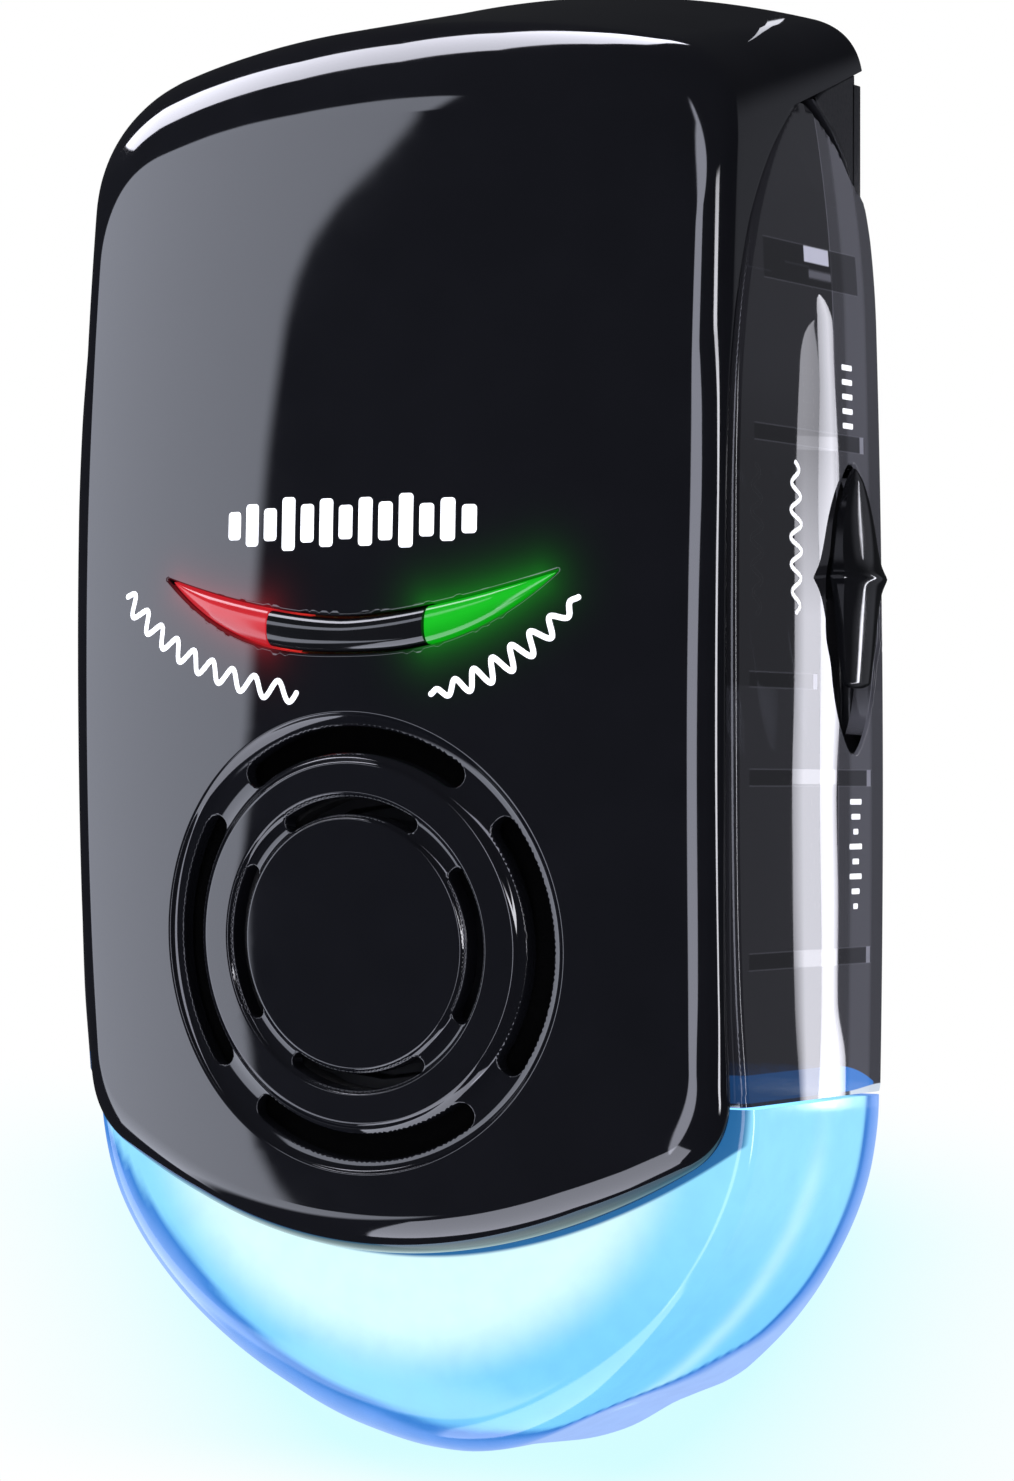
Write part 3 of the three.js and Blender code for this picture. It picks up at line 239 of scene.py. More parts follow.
class Shape:
    """Chunks of mesh; normals are smooth inside a chunk and sharp between chunks."""

    def __init__(self):
        self.points, self.normals, self.faces, self.colours, self.count = [], [], [], [], 0

    def add(self, points, faces, normals=None, colour=None, flip=False):
        """Flip turns the faces over, and the normals too when they are worked out here."""
        points = np.asarray(points, float)
        if normals is None:
            triangles = []
            for f in faces:
                triangles.append((f[0], f[1], f[2]))
                if len(f) == 4:
                    triangles.append((f[0], f[2], f[3]))
            normals = vertex_normals(points, np.array(triangles, int))
            if flip:
                normals = -normals
        if flip:
            faces = [f[::-1] for f in faces]
        self.points.append(points)
        self.normals.append(np.asarray(normals, float))
        self.colours.append(np.zeros((len(points), 3)) if colour is None else colour)
        self.faces.extend([tuple(int(i) + self.count for i in f) for f in faces])
        self.count += len(points)

    def grid(self, rows, closed=False, normals=None, colour=None, flip=False):
        """rows: array [row][column][3]; closed joins the last column to the first."""
        rows = np.asarray(rows, float)
        height, width = rows.shape[:2]
        faces = []
        for r in range(height - 1):
            for c in range(width if closed else width - 1):
                d = (c + 1) % width
                faces.append((r * width + c, (r + 1) * width + c,
                              (r + 1) * width + d, r * width + d))
        self.add(rows.reshape(-1, 3), faces,
                 None if normals is None else normals.reshape(-1, 3),
                 None if colour is None else colour.reshape(-1, 3), flip)

    def fill(self, height, outline, holes=(), axis=1, flip=False):
        """A flat sheet inside an outline."""
        flat, triangles, _ = region(outline, holes)
        self.add(lift(flat, height, axis), triangles, flip=flip)

    def tint(self, colour_of):
        """Colour every point by a function of its place."""
        self.colours = [colour_of(chunk) for chunk in self.points]
        return self

    def make(self, name, material, replaces=None, body="case", slot=None, glow=False):
        mesh = bpy.data.meshes.new(name)
        mesh.from_pydata(place(np.concatenate(self.points)).tolist(), [], self.faces)
        mesh.polygons.foreach_set("use_smooth", np.ones(len(mesh.polygons), bool))
        if glow:
            set_glow(mesh.color_attributes.new("glow", "FLOAT_COLOR", "POINT"),
                     np.concatenate(self.colours))
        mesh.update()
        normals = unit(np.concatenate(self.normals))
        mesh.normals_split_custom_set_from_vertices(normals.tolist())
        made = bpy.data.objects.new(name, mesh)
        scene.collection.objects.link(made)
        mesh.materials.append(MATERIALS[material])
        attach(made, body)
        if replaces:
            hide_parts(replaces)


def set_glow(attribute, colours):
    opaque = np.hstack([colours, np.ones((len(colours), 1))])
    attribute.data.foreach_set("color", opaque.astype(np.float32).ravel())


def loop_offset(loop, distance):
    """A closed counter-clockwise loop moved outward."""
    loop = np.asarray(loop, float)
    along = unit(np.roll(loop, -1, 0) - np.roll(loop, 1, 0))
    return loop + distance * np.stack([along[:, 1], -along[:, 0]], 1)


def ccw(loop):
    """The loop, turned round if it runs clockwise."""
    loop = np.asarray(loop, float)
    after = np.roll(loop, -1, 0)
    area = float(np.sum(loop[:, 0] * after[:, 1] - after[:, 0] * loop[:, 1]))
    return loop if area > 0 else loop[::-1]


def inside(points, loop):
    points = np.asarray(points, float)
    result = np.zeros(len(points), bool)
    for (x0, y0), (x1, y1) in zip(loop, np.roll(loop, -1, 0)):
        if y0 == y1:
            continue
        result ^= (((y0 > points[:, 1]) != (y1 > points[:, 1]))
                   & (points[:, 0] < (x1 - x0) * (points[:, 1] - y0) / (y1 - y0) + x0))
    return result


def distance_to(points, loop):
    """Distance of points to a closed loop."""
    points = np.asarray(points, float)
    loop = np.asarray(loop, float)
    result = np.full(len(points), 1e9)
    for start, end in zip(loop, np.roll(loop, -1, 0)):
        edge = end - start
        t = np.clip(((points - start) @ edge) / max(edge @ edge, 1e-12), 0, 1)
        nearest = start + t[:, None] * edge
        result = np.minimum(result, np.linalg.norm(points - nearest, axis=1))
    return result


def flat_grid(across, up, stagger=0):
    """Points of a grid; every other row is shifted by stagger."""
    first, second = np.meshgrid(across, up)
    first = first + (np.arange(first.shape[0]) % 2)[:, None] * stagger
    return np.stack([first.ravel(), second.ravel()], 1)


def thin(points, cell):
    """Drop points that share a cell with an earlier one."""
    _, first = np.unique(np.round(points / cell).astype(int), axis=0, return_index=True)
    return points[np.sort(first)]


def region(outer, holes=(), points=()):
    """Triangles of the area inside outer and outside the holes. Returns points, triangles and
    each loop's point numbers."""
    loops = [np.asarray(outer, float)] + [np.asarray(hole, float) for hole in holes]
    given, edges, spans = [], [], []
    for loop in loops:
        base = len(given)
        given.extend(loop.tolist())
        edges.extend([(base + i, base + (i + 1) % len(loop)) for i in range(len(loop))])
        spans.append((base, len(loop)))
    if len(points):
        given.extend(np.asarray(points).tolist())
    flat, _, triangles, origins, _, _ = delaunay_2d_cdt(
        [Vector(p) for p in given], edges, [], 0, 1e-7)
    flat = np.array([tuple(p) for p in flat])
    where = {k: i for i, origin in enumerate(origins) for k in origin}
    triangles = np.array([f[:3] for f in triangles], int)
    centres = flat[triangles].mean(1)
    keep = inside(centres, loops[0])
    for hole in loops[1:]:
        keep &= ~inside(centres, hole)
    triangles = triangles[keep]
    p = flat[triangles]
    area = ((p[:, 1, 0] - p[:, 0, 0]) * (p[:, 2, 1] - p[:, 0, 1])
            - (p[:, 2, 0] - p[:, 0, 0]) * (p[:, 1, 1] - p[:, 0, 1]))
    triangles = triangles[np.abs(area) > 1e-9]
    area = area[np.abs(area) > 1e-9]
    triangles[area < 0] = triangles[area < 0][:, ::-1]
    used = np.unique(triangles)
    number = np.full(len(flat), -1)
    number[used] = np.arange(len(used))
    members = [np.array([number[where[base + i]] for i in range(count)])
               for base, count in spans]
    return flat[used], number[triangles], members


def slopes(height, first, second, step=0.01):
    """Gradient of a height function of two coordinates."""
    return ((height(first + step, second) - height(first - step, second)) / (2 * step),
            (height(first, second + step) - height(first, second - step)) / (2 * step))


def face_normals_of(height, x, z):
    """Normals, towards the front, of a surface whose depth is height(x, z)."""
    slope_x, slope_z = slopes(height, x, z)
    return unit(np.stack([slope_x, -np.ones_like(slope_x), slope_z], 1))


def rounded_rect(x0, x1, z0, z1, radius, steps=6):
    corners = ((x1 - radius, z0 + radius, -90), (x1 - radius, z1 - radius, 0),
               (x0 + radius, z1 - radius, 90), (x0 + radius, z0 + radius, 180))
    points = []
    for x, z, start in corners:
        for i in range(steps + 1):
            angle = math.radians(start + 90 * i / steps)
            points.append((x + radius * math.cos(angle), z + radius * math.sin(angle)))
    return np.array(points)


def circle(x, z, radius, count):
    angle = np.arange(count) * 2 * math.pi / count
    return np.stack([x + radius * np.cos(angle), z + radius * np.sin(angle)], 1)


def lift(flat, height, axis=1):
    """Flat points in space: axis 1 takes x, z at depth height; axis 0 takes y, z at x height."""
    flat = np.asarray(flat, float)
    height = np.broadcast_to(height, (len(flat),))
    if axis == 1:
        return np.stack([flat[:, 0], height, flat[:, 1]], 1)
    return np.stack([height, flat[:, 0], flat[:, 1]], 1)


def plate(shape, loop, start, end, rounding, holes=(), axis=1, steps=3):
    """A closed flat plate with rounded rims and straight through holes."""
    loop = ccw(loop)
    angles = [math.pi / 2 * k / steps for k in range(steps + 1)]
    profile = [(rounding * (1 - math.sin(a)), start + rounding * (1 - math.cos(a)))
               for a in angles]
    profile += [(rounding * (1 - math.cos(a)), end - rounding * (1 - math.sin(a)))
                for a in angles]
    shape.grid([lift(loop_offset(loop, -inset), height, axis) for inset, height in profile],
               closed=True, flip=(axis == 0))
    rim = loop_offset(loop, -rounding)
    shape.fill(start, rim, holes, axis, flip=(axis == 0))
    shape.fill(end, rim, holes, axis, flip=(axis == 1))
    for hole in holes:
        shape.grid([lift(hole, start, axis), lift(hole, end, axis)], closed=True,
                   flip=(axis == 1))


def revolve(shape, profile, x, z, sharp, count=32):
    """A profile of (radius, depth) turned round a line along y; sharp lists the profile
    points that start a new chunk."""
    cuts = [0, *sharp, len(profile) - 1]
    for first, last in zip(cuts[:-1], cuts[1:]):
        shape.grid([lift(circle(x, z, max(radius, 1e-4), count), depth)
                    for radius, depth in profile[first:last + 1]], closed=True)


# ------------------------------------------------------------------ front cover
def smile_low(x):
    return 9.1 + 7.4 * np.abs(x / 21.0) ** 2.6


def smile_top(x):
    return 12.5 + 4.0 * np.abs(x / 21.0) ** 1.6


def smile_loop(x0, x1, inset, count=60):
    """Outline of the indicator's crescent between x0 and x1."""
    x = x0 + (x1 - x0) * (0.5 - 0.5 * np.cos(np.linspace(0, math.pi, count)))
    low = np.stack([x, smile_low(x) + inset], 1)
    top = np.stack([x[::-1], smile_top(x[::-1]) - inset], 1)
    keep = top[:, 1] - (smile_low(top[:, 0]) + inset) > 0.08
    return ccw(np.vstack([low, top[keep]]))


def arc_slot(radius, width, middle, half_angle, steps, cap_steps):
    """An arc-shaped slot with round ends, on a circle about the grille centre."""
    reach = half_angle - math.degrees(width / 2 / radius)
    points = []
    for way, turn in ((1, 0), (-1, math.pi)):
        side_radius = radius + way * width / 2
        ends = middle - way * reach, middle + way * reach
        for angle in np.radians(np.linspace(*ends, steps)):
            points.append((side_radius * math.cos(angle),
                           RING_Z + side_radius * math.sin(angle)))
        angle = math.radians(ends[1])
        x, z = radius * math.cos(angle), RING_Z + radius * math.sin(angle)
        for k in range(1, cap_steps):
            around = angle + turn + math.pi * k / cap_steps
            points.append((x + width / 2 * math.cos(around), z + width / 2 * math.sin(around)))
    return ccw(np.array(points))


SLOTS = [arc_slot(radius=18.55, width=2.4, middle=90 * q, half_angle=37.7, steps=40, cap_steps=10)
         for q in range(4)]
SLOTS += [arc_slot(radius=12.55, width=1.5, middle=90 * q, half_angle=33.3, steps=30, cap_steps=8)
          for q in range(4)]
SMILE = smile_loop(-20.8, 20.8, 0.0)
OPENINGS = [(slot, SLOT_ROUNDING) for slot in SLOTS] + [(SMILE, SMILE_ROUNDING)]

# Depth of the two ring grooves of the grille: radii, then the depth at each.
groove = pchip(
    [0, 11.2, 11.3, 11.40, 11.48, 11.56, 11.7, 11.95, 12.55, 13.15, 13.42, 13.55, 13.63, 13.71,
     13.81, 13.9, 16.2, 16.36, 16.48, 16.6, 16.75, 16.95, 17.35, 18.4, 19.75, 20.15, 20.45,
     20.68, 20.82, 20.9, 20.98, 21.08, 21.2, 60],
    [0, 0, 0.008, 0.05, 0.14, 0.27, 0.43, 0.58, 0.66, 0.58, 0.43, 0.27, 0.14, 0.05,
     0.008, 0, 0, 0.02, 0.08, 0.20, 0.38, 0.58, 0.80, 1.0, 0.88, 0.74, 0.58,
     0.40, 0.24, 0.14, 0.06, 0.015, 0, 0])
# Radii of the mesh rings that follow the grooves.
RADII = [
    11.2, 11.3, 11.36, 11.42, 11.48, 11.56, 11.66, 11.8, 12.1, 12.55, 13.0, 13.3, 13.45, 13.55,
    13.63, 13.69, 13.75, 13.81, 13.9, 16.2, 16.36, 16.44, 16.52, 16.6, 16.68, 16.8, 16.95, 17.15,
    17.35, 17.7, 18.2, 18.7, 19.2, 19.75, 20.0, 20.2, 20.4, 20.56, 20.68, 20.78, 20.86, 20.92,
    20.98, 21.05, 21.12, 21.2]


def rim_drop(distance, radius):
    """How far a rounded edge falls at a distance from its rim."""
    lean = np.clip(1 - distance / radius, 0, 1)
    return radius * (1 - np.sqrt(np.maximum(0, 1 - lean * lean * 0.97)))


def cover_depth(x, z):
    """Depth of the cover's front skin, with the grille grooves."""
    return face(x, z) + groove(np.hypot(x, z - RING_Z))


def cover_columns():
    """Outer and inner skin as [column][ring][x, y, z]: the right half, then its mirror image."""
    outline = np.array([outline_at(part, share, 20)[:2] for part, share in STATIONS])
    along = np.zeros_like(outline)
    along[1:-1] = outline[2:] - outline[:-2]
    along[0], along[-1] = (1, 0), (-1, 0)
    along = unit(along)
    outer, inner = [], []
    for (part, share), (way_x, way_z) in zip(STATIONS, along):
        out_x, out_z = way_z, -way_x
        points, end_y = cover_column(part, share)
        end_x, end_z, _ = outline_at(part, share, end_y)
        radius = min(0.22, (end_y - points[len(ROLLOVER) - 1][1]) * 0.4)
        rim = []
        for angle in np.radians((0, 30, 60, 90)):
            inset = radius * (1 - math.cos(angle))
            rim.append((end_x - out_x * inset, end_y - radius * (1 - math.sin(angle)),
                        end_z - out_z * inset))
        outer.append(points + rim)
        column = []
        for i, (x, y, z) in enumerate(points):
            lean = math.pi / 2 * (ROLLOVER[i] if i < len(ROLLOVER) else 1.0)
            inset = WALL * math.sin(lean)
            deepest = end_y - 0.05 - 0.02 * (len(points) - i)
            column.append((x - inset * out_x, min(y + WALL * math.cos(lean), deepest),
                           z - inset * out_z))
        inner_z = end_z - WALL * out_z
        column.append((end_x - WALL * out_x, min(end_y, float(edge_y(inner_z))) - 0.02, inner_z))
        inner.append(column)
    return [np.concatenate([half, half[1:-1][::-1] * (-1, 1, 1)])
            for half in (np.array(outer), np.array(inner))]


def glow_colour(flat):
    """Light that the two lit windows throw on the cover round them."""
    light = np.zeros((len(flat), 3))
    for x0, x1, colour, spread in ((-19.2, -8.7, (0.30, 0.008, 0.012), 1.9),
                                   (8.7, 19.2, (0.006, 0.30, 0.008), 2.1)):
        away = distance_to(flat, smile_loop(x0, x1, 0.25, 24))
        weight = (0.55 * np.exp(-away / spread * 1.25)
                  * np.clip(1 - away / 9.5, 0, 1) ** 1.2)
        light += weight[:, None] * np.array(colour)
    return light


def cover_front_points(rim):
    """Mesh points of the front: rings and offsets round the openings, and two grids."""
    margin = loop_offset(rim, -0.6)
    shaped = [circle(0, RING_Z, radius, 260) for radius in RADII]
    for loop, rounding in OPENINGS:
        shaped += [loop_offset(loop, share * rounding) for share in (0.25, 0.5, 1.0, 1.6)]
    shaped = np.vstack(shaped)
    keep = inside(shaped, margin) & ~inside(shaped, SMILE)
    for slot in SLOTS:
        keep &= ~(inside(shaped, slot) | (distance_to(shaped, slot) < 0.03))
    pitch = 1.3
    coarse = flat_grid(np.arange(-33, 33.1, pitch), np.arange(-43, 66, pitch), pitch / 2)
    fine = flat_grid(np.arange(-27, 27.1, 0.62), np.arange(4.6, 24, 0.62))
    coarse = coarse[~((np.abs(coarse[:, 0]) < 27.5) & (coarse[:, 1] > 4.2)
                      & (coarse[:, 1] < 24.3))]
    free = np.vstack([coarse, fine])
    radius = np.hypot(free[:, 0], free[:, 1] - RING_Z)
    in_rings = ((radius > 10.8) & (radius < 14.3)) | ((radius > 15.8) & (radius < 21.6))
    free = free[inside(free, margin) & ~in_rings]
    free = free[(distance_to(free, SMILE) > 0.45) & ~inside(free, SMILE)]
    return thin(np.vstack([shaped[keep], free]), 0.035)


def leaning_normal(point, loop, lean):
    """Normal on the rounded rim of an opening, leaning towards the opening."""
    edges = np.roll(loop, -1, 0) - loop
    share = np.sum((point - loop) * edges, 1) / np.maximum(np.sum(edges * edges, 1), 1e-12)
    nearest = loop + np.clip(share, 0, 1)[:, None] * edges
    k = np.linalg.norm(point - nearest, axis=1).argmin()
    away = point - nearest[k]
    if np.linalg.norm(away) < 1e-4:
        edge = unit(edges[k])
        away = np.array([edge[1], -edge[0]])
    away = unit(away)
    return np.array([-away[0] * lean, -math.sqrt(1 - lean * lean), -away[1] * lean])


def build_cover():
    outer, inner = cover_columns()
    rim = outer[:, 0][:, [0, 2]]
    flat, triangles, members = region(rim, [loop for loop, _ in OPENINGS],
                                      cover_front_points(rim))
    x, z = flat[:, 0], flat[:, 1]
    y = cover_depth(x, z)
    normals = face_normals_of(cover_depth, x, z)
    for loop, rounding in OPENINGS:
        away = distance_to(flat, loop)
        y = y + rim_drop(away, rounding)
        for i in np.where(away < rounding * 0.999)[0]:
            lean = min(0.985, max(0.0, 1 - away[i] / rounding))
            normals[i] = leaning_normal(flat[i], loop, lean)
    radius = np.hypot(x, z - RING_Z)
    thicker = np.where((radius > 11) & (radius < 21), 0.35, 0)
    front = np.stack([x, y, z], 1)
    back = np.stack([x, face(x, z) + WALL + thicker, z], 1)
    shape = Shape()
    shape.add(front, triangles, normals, glow_colour(flat))
    shape.add(back, triangles, flip=True)
    for loop in members[1:]:
        start, end = front[loop], back[loop]
        shape.grid([start, start * 0.75 + end * 0.25, end], closed=True)
    # rollover and flank, then the rear rim, then the inner skin
    outer, inner = outer.transpose(1, 0, 2), inner.transpose(1, 0, 2)
    outer[0][:, 1] = front[members[0]][:, 1]
    inner[0] = back[members[0]]
    around = np.roll(outer, -1, 1) - np.roll(outer, 1, 1)
    rearward = np.zeros_like(outer)
    rearward[1:-1] = outer[2:] - outer[:-2]
    rearward[0], rearward[-1] = outer[1] - outer[0], outer[-1] - outer[-2]
    normals = unit(np.cross(rearward, around))
    normals[0] = face_normals_of(face, outer[0][:, 0], outer[0][:, 2])
    if np.mean(np.sum(normals[1] * normals[0], 1)) < 0:
        normals[1:] = -normals[1:]
    colour = np.zeros_like(outer)
    for k in range(3):
        colour[k] = glow_colour(outer[k][:, [0, 2]])
    shape.grid(outer, closed=True, normals=normals, colour=colour)
    shape.grid([outer[-1], inner[-1]], closed=True)
    shape.grid(inner[::-1], closed=True)
    # four hollow screw posts on the inside
    for x, z in SCREWS:
        profile = [(3.0, float(face(x, z)) + 1.2), (3.0, 34.4), (2.8, 34.65), (1.5, 34.65),
                   (1.5, 19.0), (0, 19.0)]
        revolve(shape, profile, x, z, sharp=(1, 2, 3, 4))
    return shape


# ------------------------------------------------------------------ indicator: bar and two windows
def build_pillow(x0, x1, inset, height, sink, round_end=None):
    """A crowned strip that fills the crescent between x0 and x1; round_end is the x of the
    end that is rounded off, if any."""
    columns, across, end_radius, thickness = 72, 22, 0.7, 2.3
    shape = Shape()
    rows = []
    for along in 0.5 - 0.5 * np.cos(math.pi * np.linspace(0, 1, columns)):
        x = x0 + (x1 - x0) * along
        taper = 1.0
        if round_end is not None and abs(x - round_end) < end_radius:
            taper = math.sqrt(max(0.0, 1 - (1 - abs(x - round_end) / end_radius) ** 2))
        low, high = float(smile_low(x)) + inset, float(smile_top(x)) - inset
        middle, half = (low + high) / 2, max(0.02, (high - low) / 2)
        row = []
        for share in -np.cos(np.linspace(0, math.pi, across)):
            z = middle + half * share * (0.25 + 0.75 * taper)
            crown = (height * min(1.0, half / 1.2)
                     * max(0.0, 1 - abs(share) ** 2.4) ** 0.5 * taper)
            row.append((x, face(x, z) + sink - crown, z))
        rows.append(row)
    rows = np.array(rows)
    shape.grid(rows, flip=True)
    rim = np.vstack([rows[:, 0], rows[-1, 1:-1], rows[::-1, -1], rows[0, 1:-1][::-1]])
    base = rim.copy()
    base[:, 1] = max(rim[:, 1]) + thickness
    shape.grid([rim, base], closed=True)
    shape.fill(base[0, 1], ccw(base[:, [0, 2]]), flip=True)
    return shape


# ------------------------------------------------------------------ side windows
# Rear edge of the window near its top: heights, then depths.
window_back_top = pchip([48.5, 51.6, 54.0, 56.0, 57.6, 58.9, 60.0],
                        [37.2, 36.9, 34.4, 32.9, 31.0, 28.8, 26.6])


def window_back(z):
    return np.where(z < 48.5, COVER_REAR, window_back_top(z))


def opening_half(along):
    """Half width of the button's outline in its slot, -1 to 1 along it."""
    along = np.minimum(1, np.abs(along))
    return BUTTON_HALF_WIDTH * (0.82 * (1 - along ** 2.1) ** 0.75
                                + 0.18 * np.maximum(0, 1 - along * 5))


def button_slot(count=70, positions=24):
    """Outline, in y and z, of all that the button sweeps over its travel."""
    top = BUTTON_Z + BUTTON_HALF_LENGTH + BUTTON_GAP
    bottom = BUTTON_Z - BUTTON_HALF_LENGTH - BUTTON_TRAVEL - BUTTON_GAP
    z = bottom + (top - bottom) * (0.5 - 0.5 * np.cos(np.linspace(0, math.pi, count)))
    half = np.zeros(count)
    for k in range(positions + 1):
        centre = BUTTON_Z - BUTTON_TRAVEL * k / positions
        along = (z - centre) / (BUTTON_HALF_LENGTH + BUTTON_GAP)
        covered = np.abs(along) < 1
        half[covered] = np.maximum(half[covered], opening_half(along[covered]))
    half = half + BUTTON_GAP
    half[0] = half[-1] = BUTTON_GAP
    for _ in range(2):  # smooth the waist
        half[1:-1] = 0.25 * half[:-2] + 0.5 * half[1:-1] + 0.25 * half[2:]
    return ccw(np.vstack([np.stack([BUTTON_Y - half, z], 1),
                          np.stack([BUTTON_Y + half[::-1], z[::-1]], 1)]))


BUTTON_SLOT = button_slot()

# Stiffening ribs behind the windows: height, front depth, rear depth.
WINDOW_RIBS = [(44.6, 16.9, 33.3), (28.85, 12.3, 23.7), (6.7, 12.0, 23.5), (-2.05, 12.1, 23.6),
               (-18.45, 12.4, 34.1)]


def add_window_ribs(shape, side):
    inner_x, half_thickness = 31.4, 0.6
    for rib_z, y0, y1 in WINDOW_RIBS:
        rows = []
        low, high = rib_z - half_thickness, rib_z + half_thickness
        for y in np.linspace(y0, y1, 9):
            outer_x = max(32.0, float(window_half(y, rib_z)) - WALL)
            rows.append([(side * inner_x, y, low), (side * outer_x, y, low),
                         (side * outer_x, y, high), (side * inner_x, y, high)])
        rows = np.array(rows)
        for c in range(4):
            shape.grid(rows[:, [c, (c + 1) % 4]], flip=(side < 0))
        shape.add(rows[0], [(0, 1, 2, 3)], flip=(side > 0))
        shape.add(rows[-1], [(0, 1, 2, 3)], flip=(side < 0))


def build_window(side):
    """Side window; outlines are in y and z. side is 1 for the right one and -1 for the left."""
    bottom_z, top_z = SEAM_Z + 0.1, 59.9
    heights = np.linspace(bottom_z, top_z, 150)
    front = np.stack([edge_y(heights) + GAP, heights], 1)
    rear = np.stack([window_back(heights), heights], 1)
    bottom = np.stack([np.linspace(front[0, 0], rear[0, 0], 30)[1:-1], np.full(28, bottom_z)], 1)
    top = np.stack([np.linspace(rear[-1, 0], front[-1, 0], 4)[1:-1], np.full(2, top_z)], 1)
    loop = ccw(np.vstack([front[:1], bottom, rear, top, front[:0:-1]]))
    # mesh points: lines along the edges and the slot, and a staggered grid between them
    points = [(front + (offset, 0))[2:-2]
              for offset in (0.06, 0.16, 0.3, 0.48, 0.7, 0.95, 1.2, 1.45, 1.7, 2.1)]
    points += [loop_offset(BUTTON_SLOT, offset) for offset in (0.08, 0.18, 0.3, 0.6)]
    for offset in (0.06, 0.14, 0.25):
        points.append((rear - (offset, 0))[1:-1])
        points.append(np.stack([np.linspace(13, 36.5, 40), np.full(40, bottom_z + offset)], 1))
    grid = flat_grid(np.arange(9, 38, 1.0), np.arange(bottom_z, top_z, 1.1), 0.5)
    grid = grid[inside(grid, loop_offset(loop, -0.35))
                & (grid[:, 0] > edge_y(grid[:, 1]) + GAP + 2.4)
                & (distance_to(grid, BUTTON_SLOT) > 0.75)]
    points = np.vstack(points + [grid])
    points = points[inside(points, loop_offset(loop, -0.03))
                    & ~inside(points, loop_offset(BUTTON_SLOT, 0.03))]
    flat, triangles, members = region(loop, [BUTTON_SLOT], thin(points, 0.04))
    y, z = flat[:, 0], flat[:, 1]
    slot_rounding, rear_rounding = 0.3, 0.25
    to_slot = distance_to(flat, BUTTON_SLOT)
    to_rear = np.abs(window_back(z) - y)
    x = window_half(y, z) - rim_drop(to_slot, slot_rounding) - rim_drop(to_rear, rear_rounding)
    outer = np.stack([x, y, z], 1)
    slope_y, slope_z = slopes(window_half, y, z, 0.02)
    normals = unit(np.stack([np.ones_like(slope_y), -slope_y, -slope_z], 1))
    near = (to_slot < slot_rounding - 0.01) | (to_rear < rear_rounding - 0.01)
    normals[near] = vertex_normals(outer, triangles)[near]
    mirror = np.array([side, 1, 1])
    inner = outer.copy()
    inner[:, 0] = np.maximum(32.0, window_half(y, z) - WALL)
    shape = Shape()
    shape.add(outer * mirror, triangles, normals * mirror, flip=(side < 0))
    shape.add(inner * mirror, triangles, flip=(side > 0))
    for rim in members:
        shape.grid([outer[rim] * mirror, inner[rim] * mirror], closed=True, flip=(side < 0))
    add_window_ribs(shape, side)
    return shape


# ------------------------------------------------------------------ night light bowl
# Widening of the bowl's outline near the front and at the rear: degrees from the right end
# round the bottom to the left end, then the share added.
LENS_FRONT = pchip(
    [0, 30, 60, 75, 83, 90, 101, 114, 122, 129, 138, 148, 155, 161, 174, 180],
    [0, 0, 0.008, 0.014, 0.005, -0.010, -0.027, -0.029, -0.021, -0.013, -0.004, 0.003, 0.008,
     0.010, 0.002, 0])
LENS_BACK = pchip(
    [0, 6, 14, 27, 34, 43, 51, 55, 61, 66, 75, 90, 180],
    [0, 0.0005, 0.005, 0.011, 0.017, 0.021, 0.021, 0.014, -0.008, -0.019, -0.007, 0, 0])


def lens_point(part, share, angle, offset):
    """Point of the bowl's skin, moved inward by offset; share runs along the part."""
    top_z, rim_radius, mean_radius = SEAM_Z - 0.2, 0.5, 33
    cosine, sine = math.cos(angle), math.sin(angle)
    squareness = 1 - 0.036 * math.sin(2 * angle) ** 2 + 0.022 * sine ** 8
    degrees = math.degrees(angle)
    front, back = float(LENS_FRONT(degrees)), float(LENS_BACK(degrees))

    def front_y(x, z):
        return 10.95 + x * x / 1800 + max(0.0, -46 - z) ** 2 / 150

    def outline(y):
        half_width = float(window_half(max(13.2, y), SEAM_Z))
        rearness = smooth(min(1.0, max(0.0, (y - 15.0) / 15.0)))
        scale = squareness + front + (back - front) * rearness
        return ((half_width - offset) * cosine * scale,
                top_z - (LENS_HEIGHT + 0.08 * y - offset) * sine * scale)

    def shrunk(point, scale):
        return point[0] * scale, top_z + (point[1] - top_z) * scale

    radius = 1.5 + 2.1 * sine - offset * 0.55
    shrink = radius / mean_radius
    end_y = DEPTH - 0.4 - offset
    flank_y = front_y(*outline(16.0)) + radius + offset * 0.9
    start = outline(flank_y)
    if part == "face":
        x, z = shrunk(shrunk(start, 1 - shrink), share)
        return x, front_y(x, z) + offset, z
    if part == "rollover":
        reach = math.sin(share * math.pi / 2)
        x, z = shrunk(start, 1 - (1 - reach) * shrink)
        fall = 1 - math.sqrt(max(0, 1 - reach * reach))
        return x, front_y(x, z) + offset + fall * (flank_y - front_y(*start) - offset), z
    if part == "flank":
        y = flank_y + (end_y - flank_y) * share
        x, z = outline(y)
        return x, y, z
    end = outline(end_y)
    if part == "rim":
        turn = share * math.pi / 2
        x, z = shrunk(end, 1 - rim_radius * (1 - math.cos(turn)) / mean_radius)
        return x, end_y - rim_radius * (1 - math.sin(turn)), z
    x, z = shrunk(end, (1 - rim_radius / mean_radius) * share)
    return x, end_y, z


